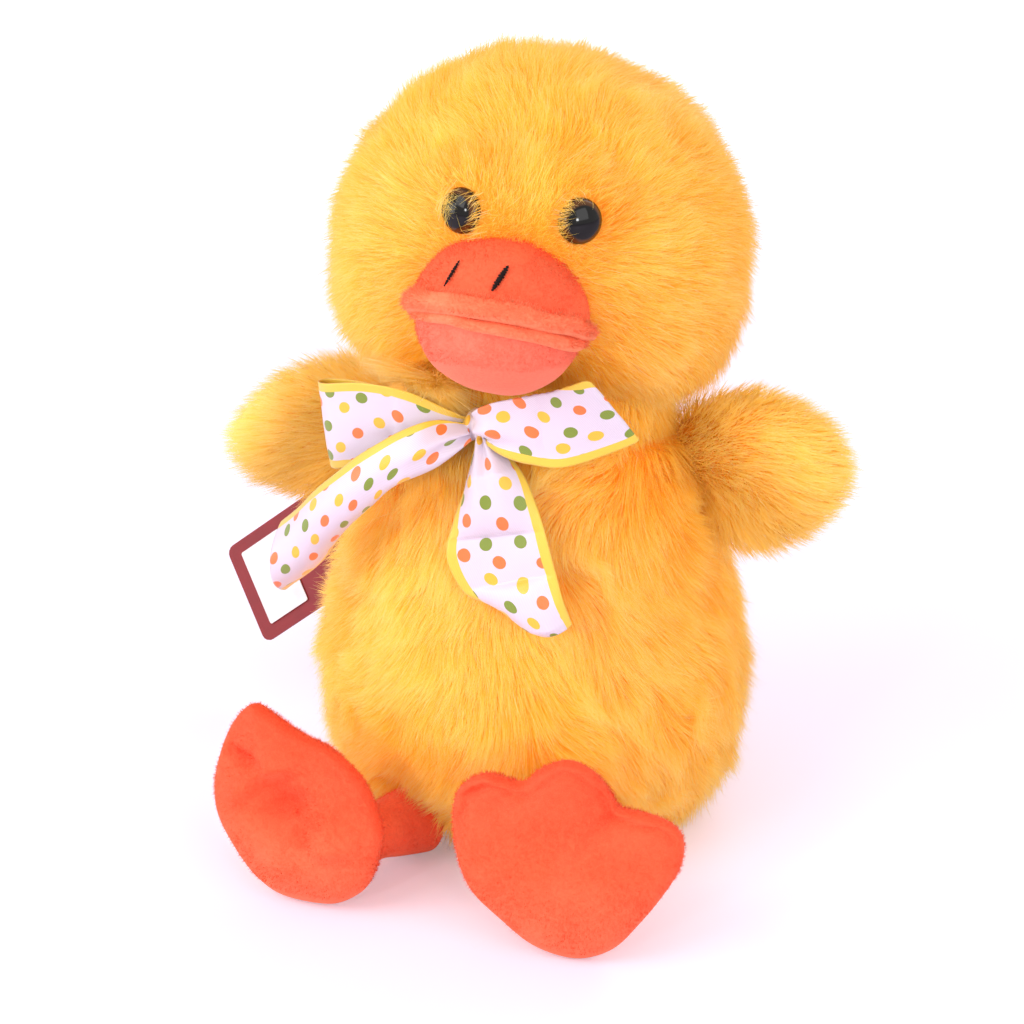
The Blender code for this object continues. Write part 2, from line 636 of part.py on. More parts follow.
def make_bill(materials):
    parts = {}
    half_seam = 0.5 * GAP
    upper, tip = bill_dome_rings(BILL_HALF_WIDTH, BILL_LENGTH, UPPER_BILL_HEIGHT, BILL_ROOT_DEPTH, 1.0)
    upper = raise_rings(upper, half_seam)
    tip = (tip[0], tip[1], tip[2] + half_seam)
    parts["upper"] = add_solid(
        "upper_bill", upper, materials["orange_plush"], bill_place(), ((0.0, 0.0, half_seam), tip)
    )
    low_width = BILL_HALF_WIDTH * LOWER_BILL_SHARE
    low_length = BILL_LENGTH * LOWER_BILL_SHARE
    lower, tip = bill_dome_rings(low_width, low_length, LOWER_BILL_HEIGHT, BILL_ROOT_DEPTH, -1.0)
    lower = raise_rings(lower, -half_seam)
    tip = (tip[0], tip[1], tip[2] - half_seam)
    parts["lower"] = add_solid(
        "lower_bill", lower, materials["salmon_plush"], bill_place(), ((0.0, 0.0, -half_seam), tip)
    )
    lip_centre = LIP_RADIUS + half_seam
    reach = LIP_OVERHANG
    for name, side, material, width, length in (
        ("upper_lip", 1.0, "orange_plush", BILL_HALF_WIDTH, BILL_LENGTH),
        ("lower_lip", -1.0, "salmon_plush", low_width, low_length),
    ):
        lip = make_lip(name, width + reach, (length + reach) * LIP_LENGTH_SHARE, LIP_RADIUS,
                       side * lip_centre, materials[material])
        room = make_lip(name + "_room", width + reach, (length + reach) * LIP_LENGTH_SHARE,
                        LIP_RADIUS + GAP, side * lip_centre, materials[material])
        mark_as_cutter(room)
        cut_away(parts["upper"] if side > 0.0 else parts["lower"], room)
        parts[name] = lip
    face, face_tip = head_rings(-GAP)
    base = (0.0, 0.0, HEAD_RIM_RISE)
    face_room = add_solid("face_room", face, materials["yellow_fur"], head_place(), (base, face_tip))
    mark_as_cutter(face_room)
    for piece in list(parts.values()):
        cut_away(piece, face_room)
    return parts


# Nostrils: a short bar of black stitches sunk into the upper bill
def nostril_rings(grow):
    rows = []
    for angle in np.radians(np.linspace(-NOSTRIL_END_ANGLE, NOSTRIL_END_ANGLE, NOSTRIL_RINGS)):
        half = (NOSTRIL_HALF_WIDTH + grow) * math.cos(angle)
        height = (NOSTRIL_HALF_LENGTH + grow) * math.sin(angle)
        rows.append(circle_points(half, half, height, NOSTRIL_SEGMENTS))
    end = NOSTRIL_HALF_LENGTH + grow
    return rows, ((0.0, 0.0, -end), (0.0, 0.0, end))


def make_nostrils(materials, bill):
    forward = NOSTRIL_FORWARD_SHARE
    for name, spread in zip(("right_nostril", "left_nostril"), NOSTRIL_SPREAD_SHARES):
        height_share = math.sqrt(1.0 - forward ** 2 - spread ** 2)
        spot = Vector((
            BILL_HALF_WIDTH * spread,
            -BILL_LENGTH * forward,
            UPPER_BILL_HEIGHT * height_share - STITCH_SINK,
        ))
        steep = math.degrees(math.atan2(UPPER_BILL_HEIGHT * forward, BILL_LENGTH * height_share))
        lie = Matrix.Rotation(math.radians(steep - 90.0), 4, "X")
        lean = Matrix.Rotation(math.radians(NOSTRIL_LEAN), 4, "Y")
        place = bill_place() @ Matrix.Translation(spot) @ lie @ lean
        rows, tips = nostril_rings(0.0)
        add_solid(name, rows, materials["black_thread"], place, tips)
        rows, tips = nostril_rings(GAP)
        bed = add_solid(name + "_bed", rows, materials["black_thread"], place, tips)
        cut_away(bill["upper"], mark_as_cutter(bed))


# Eyes: a domed plastic button on a shank that passes through the cloth to a washer
def make_eye(name, side, materials, head):
    place = eye_place(side)
    profile = [(EYE_SHANK_RADIUS, -EYE_SHANK_LENGTH), (EYE_SHANK_RADIUS, 0.0), (EYE_RADIUS, 0.0)]
    profile.append((EYE_RADIUS, EYE_EDGE))
    dome = EYE_DOME_HEIGHT - EYE_EDGE
    for angle in np.radians(EYE_DOME_ANGLES):
        profile.append((EYE_RADIUS * math.cos(angle), EYE_EDGE + dome * math.sin(angle)))
    add_lathe(name + "_eye", profile, EYE_SEGMENTS, materials["eye_plastic"], place)

    bore = EYE_SHANK_RADIUS + GAP
    washer_low = -WASHER_SETBACK - WASHER_THICKNESS
    add_tube(name + "_eye_washer", bore, WASHER_RADIUS, washer_low, -WASHER_SETBACK, EYE_SEGMENTS,
             materials["washer_plastic"], place)

    well_profile = (
        (WASHER_RADIUS + GAP, -EYE_SHANK_LENGTH - GAP), (WASHER_RADIUS + GAP, -WASHER_SETBACK + GAP),
        (bore, -WASHER_SETBACK + GAP), (bore, -GAP), (EYE_RADIUS + GAP, -GAP),
        (EYE_RADIUS + GAP, EYE_WELL_HEIGHT),
    )
    well = add_lathe(name + "_eye_well", well_profile, EYE_SEGMENTS, materials["eye_plastic"], place)
    mark_as_cutter(well)
    cut_away(head["cover"], well)
    cut_away(head["filling"], well)


# Wings: a padded paddle, thin where it is sewn to the body and round at its tip
def wing_rings(side, droop):
    rings = []
    slope = math.tan(math.radians(droop))
    middle_x = WING_LENGTH * WING_MIDDLE_SHARES[0]
    middle_z = WING_HALF_HEIGHT * WING_MIDDLE_SHARES[1]
    for depth_share in WING_LAYER_SHARES:
        rounded = math.sqrt(1.0 - depth_share ** 2)
        wedge = 1.0 - abs(depth_share)
        ring = []
        for x_share, z_share in WING_OUTLINE_SHARES:
            outward = min(1.0, x_share / WING_WEDGE_SHARE)
            size = rounded * outward + wedge * (1.0 - outward)
            x = middle_x + (WING_LENGTH * x_share - middle_x) * size
            z = middle_z + (WING_HALF_HEIGHT * z_share - middle_z) * size
            ring.append((side * x, depth_share * WING_HALF_THICKNESS, z - slope * x))
        rings.append(ring)
    near_tip = (side * middle_x, -WING_HALF_THICKNESS, middle_z - slope * middle_x)
    far_tip = (side * middle_x, WING_HALF_THICKNESS, middle_z - slope * middle_x)
    return rings, (near_tip, far_tip)


def wing_place(side, forward):
    lean = Matrix.Rotation(math.radians(-side * WING_SEAM_LEAN), 4, "Y")
    swing = Matrix.Rotation(math.radians(-side * forward), 4, "Z")
    return Matrix.Translation((side * WING_SEAM_X, WING_SEAM_Y, WING_SEAM_Z)) @ lean @ swing


def make_wings(materials):
    body_room = add_closed_body("wing_side_room", -GAP, materials["yellow_fur"])
    mark_as_cutter(body_room)
    for name, side, forward, droop in (
        ("left_wing", 1.0, LEFT_WING_FORWARD, LEFT_WING_DROOP),
        ("right_wing", -1.0, RIGHT_WING_FORWARD, RIGHT_WING_DROOP),
    ):
        rows, tips = wing_rings(side, droop)
        place = wing_place(side, forward)
        wing = add_solid(name, rows, materials["yellow_fur"], place, tips)
        cut_away(wing, body_room)


# Feet: a padded pouch with three rounded toes, its sole facing forward
def foot_rings(outline_shares, grow):
    middle_z = 0.5 * FOOT_HEIGHT
    stretch = 1.0 + grow / FOOT_HALF_WIDTH
    rings = []
    for depth_share in FOOT_LAYER_SHARES:
        size = (1.0 - abs(depth_share) ** FOOT_ROUNDNESS) ** (1.0 / FOOT_ROUNDNESS) * stretch
        ring = []
        for x_share, z_share in outline_shares:
            z = middle_z + (FOOT_HEIGHT * z_share - middle_z) * size
            ring.append((FOOT_HALF_WIDTH * x_share * size, depth_share * (FOOT_HALF_THICKNESS + grow), z))
        rings.append(ring)
    depth = FOOT_HALF_THICKNESS + grow
    return rings, ((0.0, -depth, middle_z), (0.0, depth, middle_z))


def foot_place(outline_shares, heel_x, heel_y, roll, turn):
    spin = Matrix.Rotation(math.radians(turn), 4, "Z")
    lean = Matrix.Rotation(math.radians(-FOOT_LEAN_BACK), 4, "X")
    tip = Matrix.Rotation(math.radians(roll), 4, "Y")
    loose = spin @ lean @ tip
    rings, tips = foot_rings(outline_shares, 0.0)
    lowest = min((loose @ Vector(point)).z for ring in rings for point in ring)
    return Matrix.Translation((heel_x, heel_y, FOOT_FLOOR_GAP - lowest)) @ loose


def make_leg_and_foot(name, side, outline_shares, heel, ankle_x, roll, turn, materials, body):
    heel_x, heel_y = heel
    place = foot_place(outline_shares, heel_x, heel_y, roll, turn)
    rings, tips = foot_rings(outline_shares, 0.0)
    add_solid(name + "_foot", rings, materials["orange_plush"], place, tips)
    rings, tips = foot_rings(outline_shares, GAP)
    foot_room = mark_as_cutter(add_solid(name + "_foot_room", rings, materials["orange_plush"], place, tips))

    hip = Vector((side * HIP_X, HIP_Y, HIP_Z))
    ankle = Vector((ankle_x, heel_y, ANKLE_RISE))
    along = ankle - hip
    length = along.length
    spin = along.to_track_quat("Z", "Y").to_matrix().to_4x4()
    rows = ball_rings(HIP_RADIUS, HIP_RINGS, LEG_SEGMENTS, HIP_LOW_ANGLE, HIP_HIGH_ANGLE)
    rows.append(circle_points(LEG_RADIUS, LEG_RADIUS, HIP_RADIUS * LEG_NECK_SHARE, LEG_SEGMENTS))
    rows.append(circle_points(LEG_RADIUS, LEG_RADIUS, length, LEG_SEGMENTS))
    leg = add_solid(name + "_leg", rows, materials["orange_plush"], Matrix.Translation(hip) @ spin,
                    ((0.0, 0.0, -HIP_RADIUS), (0.0, 0.0, length)))
    cut_away(leg, foot_room)
    socket = add_ball(name + "_hip_room", HIP_RADIUS + BALL_GAP, HIP_ROOM_RINGS, LEG_SEGMENTS,
                      materials["orange_plush"], Matrix.Translation(hip))
    mark_as_cutter(socket)
    cut_away(body["cover"], socket)
    cut_away(body["filling"], socket)


# Ribbon
def add_band(name, grow, material):
    rows = []
    middle = NECK_BALL_RADIUS + GAP + 0.5 * BAND_THICKNESS
    low = -NECK_SEAT_DROP - grow
    thickness = BAND_THICKNESS + 2.0 * grow
    height = 2.0 * (BAND_HALF_HEIGHT + grow)
    for across_share, up_share in BAND_CORNER_SHARES:
        radius = middle + thickness * across_share
        rows.append(circle_points(radius, radius, low + height * up_share, NECK_SEGMENTS))
    return add_ring_shell(name, rows[::-1], material, neck_place())


# A ribbon strip, given by its upper and lower edge at each station
def add_strip(name, upper_edge, lower_edge, material):
    uppers = [Vector(point) for point in upper_edge]
    lowers = [Vector(point) for point in lower_edge]
    count = len(uppers)
    rows = []
    for index in range(count):
        before = max(index - 1, 0)
        after = min(index + 1, count - 1)
        forward = (uppers[after] + lowers[after]) - (uppers[before] + lowers[before])
        across = lowers[index] - uppers[index]
        normal = forward.cross(across).normalized() * (0.5 * RIBBON_THICKNESS)
        shares = [step / RIBBON_ROWS for step in range(RIBBON_ROWS + 1)]
        front = [uppers[index].lerp(lowers[index], share) + normal for share in shares]
        back = [point - 2.0 * normal for point in reversed(front)]
        rows.append([tuple(point) for point in front + back])
    return add_solid(name, rows, material, Matrix.Identity(4))


def knot_centre():
    return neck_place() @ Vector((KNOT_OFFSET_X, -KNOT_FORWARD, KNOT_RISE))


def from_shares(shares):
    centre = knot_centre()
    return [tuple(centre + BOW_REACH * Vector(point)) for point in shares]


def add_knot(name, grow, material):
    squash = Matrix.Diagonal((KNOT_HALF_WIDTH + grow, KNOT_HALF_DEPTH + grow, KNOT_HALF_HEIGHT + grow, 1.0))
    unit_rows = ball_rings(1.0, KNOT_RINGS, KNOT_SEGMENTS, -KNOT_END_ANGLE, KNOT_END_ANGLE)
    rows = [[tuple(squash @ Vector(point)) for point in row] for row in unit_rows]
    tips = (tuple(squash @ Vector((0.0, 0.0, -1.0))), tuple(squash @ Vector((0.0, 0.0, 1.0))))
    return add_solid(name, rows, material, Matrix.Translation(knot_centre()), tips)


def make_bow(materials):
    satin = materials["satin_ribbon"]
    knot = add_knot("ribbon_knot", 0.0, satin)
    knot_room = mark_as_cutter(add_knot("knot_room", GAP, satin))
    band_room = add_band("band_room", GAP, satin)
    cut_away(knot, mark_as_cutter(band_room))
    for name, upper_shares, lower_shares in (
        ("ribbon_left_loop", LEFT_LOOP_UPPER_SHARES, LEFT_LOOP_LOWER_SHARES),
        ("ribbon_right_loop", RIGHT_LOOP_UPPER_SHARES, RIGHT_LOOP_LOWER_SHARES),
        ("ribbon_left_tail", LEFT_TAIL_UPPER_SHARES, LEFT_TAIL_LOWER_SHARES),
        ("ribbon_right_tail", RIGHT_TAIL_UPPER_SHARES, RIGHT_TAIL_LOWER_SHARES),
    ):
        strip = add_strip(name, from_shares(upper_shares), from_shares(lower_shares), satin)
        cut_away(strip, knot_room)


# Card tag
def rounded_rectangle(low_x, high_x, half_width, radius, depth):
    points = []
    corners = ((high_x - radius, half_width - radius, 0.0), (low_x + radius, half_width - radius, 90.0),
               (low_x + radius, -half_width + radius, 180.0), (high_x - radius, -half_width + radius, 270.0))
    for x, z, start in corners:
        for angle in np.radians(np.linspace(start, start + QUARTER_TURN, CORNER_STEPS)):
            points.append((x + radius * math.cos(angle), depth, z + radius * math.sin(angle)))
    return points


def tag_place():
    turn = Matrix.Rotation(math.radians(TAG_TURN), 4, "Z")
    lean = Matrix.Rotation(math.radians(-TAG_LEAN_BACK), 4, "X")
    hang = Matrix.Rotation(math.radians(-TAG_HANG), 4, "Y")
    return Matrix.Translation((TAG_HOLE_X, TAG_HOLE_Y, TAG_HOLE_Z)) @ turn @ lean @ hang


def make_tag(materials, body):
    place = tag_place()
    near_end = TAG_HOLE_INSET
    far_end = TAG_HOLE_INSET - TAG_LENGTH
    half_width = 0.5 * TAG_WIDTH
    rows = [
        rounded_rectangle(far_end, near_end, half_width, TAG_CORNER_RADIUS, depth)
        for depth in (-0.5 * TAG_THICKNESS, 0.5 * TAG_THICKNESS)
    ]
    card = add_solid("tag_card", rows, materials["red_card"], place)
    face_forward = Matrix.Rotation(math.radians(90.0), 4, "X")
    punch = add_lathe("tag_punch", ((TAG_HOLE_RADIUS, -TAG_THICKNESS), (TAG_HOLE_RADIUS, TAG_THICKNESS)),
                      EYE_SEGMENTS, materials["red_card"], place @ face_forward)
    cut_away(card, mark_as_cutter(punch))

    label_low = far_end + LABEL_INSET
    front = -0.5 * TAG_THICKNESS - GAP
    rows = [
        rounded_rectangle(label_low, label_low + LABEL_LENGTH, 0.5 * LABEL_WIDTH, TAG_THICKNESS, depth)
        for depth in (front - LABEL_THICKNESS, front)
    ]
    add_solid("tag_label", rows, materials["pale_label"], place)
    make_tag_loop(materials, body, place)


# The nylon loop passes through the hole of the card and round a stitch in the side seam.
def make_tag_loop(materials, body, card_place):
    hole = card_place.translation
    seam = Vector((TAG_SEAM_X, TAG_SEAM_Y, TAG_SEAM_Z))
    along = (hole - seam).normalized()
    card_normal = card_place.to_3x3() @ Vector((0.0, 1.0, 0.0))
    side = along.cross(card_normal).normalized()
    across = side.cross(along).normalized()
    half_steps = LOOP_SEGMENTS // 2
    rows = []
    for centre, direction in ((hole, 1.0), (seam, -1.0)):
        for turn in np.linspace(-0.5 * math.pi, 0.5 * math.pi, half_steps):
            outward = direction * (along * math.cos(turn) + across * math.sin(turn))
            spot = centre + outward * LOOP_HALF_WIDTH
            row = []
            for step in np.linspace(0.0, FULL_TURN, CORD_SEGMENTS, endpoint=False):
                round_the_cord = outward * math.cos(step) + side * math.sin(step)
                row.append(tuple(spot + LOOP_CORD_RADIUS * round_the_cord))
            rows.append(row)
    add_ring_shell("tag_loop", rows, materials["clear_nylon"], Matrix.Identity(4))
    room_radius = LOOP_HALF_WIDTH + LOOP_CORD_RADIUS + GAP
    stitch_room = add_ball("stitch_room", room_radius, POUCH_RINGS, POUCH_SEGMENTS,
                           materials["clear_nylon"], Matrix.Translation(seam))
    cut_away(body["cover"], mark_as_cutter(stitch_room))


def build():
    clear_scene()
    materials = make_materials()
    body = make_body(materials)
    make_neck(materials)
    head = make_head(materials)
    bill = make_bill(materials)
    make_nostrils(materials, bill)
    make_eye("left", 1.0, materials, head)
    make_eye("right", -1.0, materials, head)
    make_wings(materials)
    make_leg_and_foot("left", 1.0, LEFT_FOOT_OUTLINE_SHARES, (LEFT_HEEL_X, LEFT_HEEL_Y),
                      LEFT_ANKLE_X, LEFT_FOOT_ROLL, LEFT_FOOT_TURN, materials, body)
    make_leg_and_foot("right", -1.0, RIGHT_FOOT_OUTLINE_SHARES, (RIGHT_HEEL_X, RIGHT_HEEL_Y),
                      RIGHT_ANKLE_X, RIGHT_FOOT_ROLL, RIGHT_FOOT_TURN, materials, body)
    add_band("ribbon_band", 0.0, materials["satin_ribbon"])
    make_bow(materials)
    make_tag(materials, body)


build()
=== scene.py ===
# %% [markdown]
# # A plush duck, piece by piece
# The real toy is a bag of long yellow pile, filled with stuffing, with short plush for the
# bill and feet, a satin bow and a card tag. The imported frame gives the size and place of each
# piece. Here each one gets its true surface: hair for the pile, cloth for the ribbon, plastic
# for the eyes. Everything is in metres, and the duck faces -Y.

import math

import bpy
import numpy as np
from mathutils import Matrix, Vector
from mathutils.bvhtree import BVHTree
from mathutils.kdtree import KDTree


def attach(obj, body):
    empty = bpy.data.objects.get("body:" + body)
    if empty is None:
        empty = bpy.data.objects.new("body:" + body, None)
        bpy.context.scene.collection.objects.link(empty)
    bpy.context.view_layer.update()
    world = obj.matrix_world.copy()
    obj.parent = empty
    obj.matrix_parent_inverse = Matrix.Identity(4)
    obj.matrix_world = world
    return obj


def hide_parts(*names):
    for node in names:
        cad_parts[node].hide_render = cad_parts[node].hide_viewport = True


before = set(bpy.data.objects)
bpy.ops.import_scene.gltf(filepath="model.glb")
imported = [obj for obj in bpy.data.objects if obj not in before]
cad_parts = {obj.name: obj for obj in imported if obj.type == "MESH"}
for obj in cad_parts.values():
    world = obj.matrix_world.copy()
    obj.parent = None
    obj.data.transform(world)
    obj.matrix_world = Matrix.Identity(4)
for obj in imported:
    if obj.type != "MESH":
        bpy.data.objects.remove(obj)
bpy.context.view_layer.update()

# %% [markdown]
# ## Camera
# The photographer stood a little to the duck's left and looked down by about 25 degrees, from
# roughly a metre away. A long lens keeps the head from looking larger than the feet.

# %% Camera
VIEW_TURN = math.radians(20.0)
VIEW_DROP = math.radians(25.0)
VIEW_DISTANCE = 1.0
VIEW_TARGET = Vector((-0.001, -0.02, 0.121))
SENSOR_WIDTH = 36.0
PHOTO_FOCAL_PIXELS = 2857.0
PHOTO_WIDTH_PIXELS = 1024.0
LENS = SENSOR_WIDTH * PHOTO_FOCAL_PIXELS / PHOTO_WIDTH_PIXELS

camera_data = bpy.data.cameras.new("studio_camera")
camera_data.lens = LENS
camera_data.sensor_width = SENSOR_WIDTH
camera_data.clip_start = 0.05
camera = bpy.data.objects.new("studio_camera", camera_data)
bpy.context.collection.objects.link(camera)
towards_camera = Vector((
    math.sin(VIEW_TURN) * math.cos(VIEW_DROP),
    -math.cos(VIEW_TURN) * math.cos(VIEW_DROP),
    math.sin(VIEW_DROP),
))
camera.location = VIEW_TARGET + towards_camera * VIEW_DISTANCE
camera.rotation_euler = towards_camera.to_track_quat("Z", "Y").to_euler()
bpy.context.scene.camera = camera
print("lens:", round(LENS, 1), "mm")

# %% [markdown]
# ## Floor, light and background
# A pale sweep with big soft lamps gives the even light of a product photograph. Far from the
# duck the floor glows a little for the camera, so it meets the background without an edge. The
# sky is white only for rays that come straight from the camera, or off gloss and glass, so it
# makes a white background without flooding the duck with light.

# %% Floor and light
def new_material(name):
    material = bpy.data.materials.new(name)
    material.use_nodes = True
    return material, material.node_tree.nodes, material.node_tree.links


def math_node(nodes, links, operation, first, second):
    node = nodes.new("ShaderNodeMath")
    node.operation = operation
    links.new(first, node.inputs[0])
    if isinstance(second, float):
        node.inputs[1].default_value = second
    else:
        links.new(second, node.inputs[1])
    return node


def add_floor():
    size = 3.0
    mesh = bpy.data.meshes.new("floor")
    mesh.from_pydata([(-size, -size, 0), (size, -size, 0), (size, size, 0), (-size, size, 0)], [], [(0, 1, 2, 3)])
    floor = bpy.data.objects.new("floor", mesh)
    bpy.context.collection.objects.link(floor)
    material, nodes, links = new_material("white_sweep")
    surface = nodes["Principled BSDF"]
    surface.inputs["Base Color"].default_value = (0.84, 0.75, 0.92, 1.0)
    surface.inputs["Roughness"].default_value = 0.7
    glow = nodes.new("ShaderNodeEmission")
    glow.inputs["Color"].default_value = (1.0, 1.0, 1.0, 1.0)
    rays = nodes.new("ShaderNodeLightPath")
    place = nodes.new("ShaderNodeTexCoord")
    reach = nodes.new("ShaderNodeVectorMath")
    reach.operation = "LENGTH"
    links.new(place.outputs["Object"], reach.inputs[0])
    far = nodes.new("ShaderNodeMapRange")
    far.inputs["From Min"].default_value = 0.55
    far.inputs["From Max"].default_value = 1.60
    far.inputs["To Min"].default_value = 0.20
    far.inputs["To Max"].default_value = 0.85
    links.new(reach.outputs["Value"], far.inputs["Value"])
    seen = math_node(nodes, links, "MULTIPLY", rays.outputs["Is Camera Ray"], far.outputs["Result"])
    links.new(seen.outputs[0], glow.inputs["Strength"])
    both = nodes.new("ShaderNodeAddShader")
    links.new(surface.outputs[0], both.inputs[0])
    links.new(glow.outputs[0], both.inputs[1])
    links.new(both.outputs[0], nodes["Material Output"].inputs["Surface"])
    mesh.materials.append(material)


def add_softbox(name, place, target, size, power):
    lamp = bpy.data.lights.new(name, "AREA")
    lamp.shape = "RECTANGLE"
    lamp.size, lamp.size_y = size
    lamp.energy = power
    holder = bpy.data.objects.new(name, lamp)
    bpy.context.collection.objects.link(holder)
    holder.location = place
    holder.rotation_euler = (Vector(place) - Vector(target)).to_track_quat("Z", "Y").to_euler()


def light_the_room():
    world = bpy.data.worlds.new("studio")
    bpy.context.scene.world = world
    world.use_nodes = True
    nodes, links = world.node_tree.nodes, world.node_tree.links
    room = nodes["Background"]
    room.inputs["Color"].default_value = (1.0, 0.985, 1.0, 1.0)
    room.inputs["Strength"].default_value = 0.68
    white = nodes.new("ShaderNodeBackground")
    white.inputs["Color"].default_value = (1.0, 1.0, 1.0, 1.0)
    white.inputs["Strength"].default_value = 1.0
    rays = nodes.new("ShaderNodeLightPath")
    straight = math_node(nodes, links, "MAXIMUM", rays.outputs["Is Camera Ray"], rays.outputs["Is Transmission Ray"])
    shiny = math_node(nodes, links, "MAXIMUM", straight.outputs[0], rays.outputs["Is Glossy Ray"])
    pick = nodes.new("ShaderNodeMixShader")
    links.new(shiny.outputs[0], pick.inputs[0])
    links.new(room.outputs[0], pick.inputs[1])
    links.new(white.outputs[0], pick.inputs[2])
    links.new(pick.outputs[0], nodes["World Output"].inputs["Surface"])


add_floor()
light_the_room()
DUCK_MIDDLE = (0.0, 0.0, 0.14)
DUCK_BACK = (0.0, 0.0, 0.16)
EYE_LEVEL = (0.0, 0.0, 0.20)
# A lamp: where it stands, what it points at, its width and height, and its power in watts.
LAMPS = {
    "key_softbox": ((-1.0, -1.3, 1.35), DUCK_MIDDLE, (1.2, 1.2), 15.0),
    "fill_softbox": ((1.5, -0.9, 1.0), DUCK_MIDDLE, (1.2, 1.2), 9.0),
    "right_spark": ((1.02, -1.12, 0.50), EYE_LEVEL, (0.17, 0.17), 3.2),
    "left_spark": ((-0.30, -1.48, 0.60), EYE_LEVEL, (0.17, 0.17), 3.2),
    "low_softbox": ((-1.5, -0.75, 0.42), DUCK_MIDDLE, (0.9, 0.7), 8.0),
    "back_softbox": ((0.4, 1.4, 1.4), DUCK_BACK, (1.4, 1.0), 10.0),
}
for lamp_name, (place, target, size, power) in LAMPS.items():
    add_softbox(lamp_name, place, target, size, power)
bpy.context.scene.view_settings.view_transform = "Standard"

# %% [markdown]
# ## Sizes and places
# The pile's outer surface follows the frame's solids. The cloth under it lies about 9 mm
# further in, and the hairs grow out from there.

# %% Sizes of the forms
PILE_DEPTH = 0.0088
BODY_HALF_WIDTH = 0.0800
BODY_HALF_DEPTH = 0.0735
SHOULDER_Z = 0.1400
BODY_PROFILE = np.array([
    (0.00, 0.760), (0.055, 0.840), (0.145, 0.930), (0.270, 0.985), (0.400, 1.000),
    (0.540, 0.965), (0.680, 0.905), (0.820, 0.842), (0.920, 0.785), (1.00, 0.722),
])
NECK_PIVOT_Z = 0.1620
NECK_TILT = 12.0
NECK_BALL_RADIUS = 0.0400
NECK_SEAT_DROP = 0.0120
NECK_RIM_RADIUS = 0.0510
HEAD_TURN = 12.0
HEAD_CENTRE = Vector((0.0, -0.0105, 0.0496))
HEAD_HALF_WIDTH = 0.0738
HEAD_HALF_DEPTH = 0.0718
HEAD_TOP_RISE = 0.0715
HEAD_RIM_RISE = 0.0060
CHEEK_DROP = 0.0075
HEAD_LOWER = np.array([(0.00, 0.690), (0.06, 0.820), (0.18, 0.910), (0.36, 0.970), (0.64, 1.000), (1.0, 1.0)])
BILL_HALF_WIDTH = 0.0305
BILL_LENGTH = 0.0340
UPPER_BILL_HEIGHT = 0.0285
LOWER_BILL_HEIGHT = 0.0245
EYE_RADIUS = 0.0075
BODY_BASE_LIFT = 0.0015
NECK_SEAT_CLOTH = 0.0015
NECK_HOLE_RADIUS = 0.0425
HEAD_RIM_HOLE_RADIUS = 0.0415
BILL_FROM_CENTRE = Vector((-0.0045, -0.0600, -0.0165))
EYE_SPREAD = 0.0187
EYE_FORWARD = 0.0645
EYE_RISE = 0.0190


def spin(degrees, axis):
    return Matrix.Rotation(math.radians(degrees), 4, axis)


neck_place = Matrix.Translation((0.0, 0.0, NECK_PIVOT_Z)) @ spin(-NECK_TILT, "X")
head_place = neck_place @ spin(HEAD_TURN, "Z")
bill_place = (
    head_place @ Matrix.Translation(HEAD_CENTRE + BILL_FROM_CENTRE)
    @ spin(-8.0, "Z") @ spin(-13.0, "X") @ spin(3.5, "Y")
)


def eye_place(side):
    offset = HEAD_CENTRE + Vector((side * EYE_SPREAD, -EYE_FORWARD, EYE_RISE))
    return head_place @ Matrix.Translation(offset) @ spin(side * 30.0, "Z") @ spin(90.0, "X")


print("head centre:", [round(v, 4) for v in (head_place @ HEAD_CENTRE)])

# %% [markdown]
# ## Tools for meshes, noise and scattering
# Hair needs a few plain tools: one that turns arrays into a mesh quickly, one that gives a
# smooth random value at any point, and one that strews points evenly over a surface.

# %% Mesh and noise helpers
def make_mesh(name, points, quads=(), tris=(), material=None):
    points = np.asarray(points, dtype=np.float32)
    quads = np.asarray(quads, dtype=np.int32).reshape(-1, 4)
    tris = np.asarray(tris, dtype=np.int32).reshape(-1, 3)
    corners = np.concatenate([quads.ravel(), tris.ravel()]).astype(np.int32)
    starts = np.concatenate([np.arange(len(quads)) * 4, len(quads) * 4 + np.arange(len(tris)) * 3])
    mesh = bpy.data.meshes.new(name)
    mesh.vertices.add(len(points))
    mesh.vertices.foreach_set("co", points.ravel())
    mesh.loops.add(len(corners))
    mesh.loops.foreach_set("vertex_index", corners)
    mesh.polygons.add(len(starts))
    mesh.polygons.foreach_set("loop_start", starts.astype(np.int32))
    mesh.polygons.foreach_set("use_smooth", np.full(len(starts), True))
    mesh.update(calc_edges=True)
    if material is not None:
        mesh.materials.append(material)
    piece = bpy.data.objects.new(name, mesh)
    bpy.context.collection.objects.link(piece)
    return piece


def write_values(piece, label, values):
    layer = piece.data.attributes.new(label, "FLOAT", "POINT")
    layer.data.foreach_set("value", np.asarray(values, dtype=np.float32))


def lay_flat(piece, flat_points):
    layer = piece.data.uv_layers.new(name="flat")
    corner_points = np.zeros(len(piece.data.loops), dtype=np.int32)
    piece.data.loops.foreach_get("vertex_index", corner_points)
    layer.data.foreach_set("uv", flat_points[corner_points].astype(np.float32).ravel())


def full_turn(count):
    return np.linspace(0.0, 2.0 * math.pi, count, endpoint=False)


def ring(turns, half_x, half_y, height):
    return np.stack([half_x * np.cos(turns), half_y * np.sin(turns), np.zeros(len(turns)) + height], axis=1)


def smoothed(widths, times):
    for _ in range(times):
        widths[1:-1] = 0.25 * widths[:-2] + 0.5 * widths[1:-1] + 0.25 * widths[2:]
    return widths


def unit(vectors):
    return vectors / np.maximum(np.linalg.norm(vectors, axis=-1, keepdims=True), 1e-12)


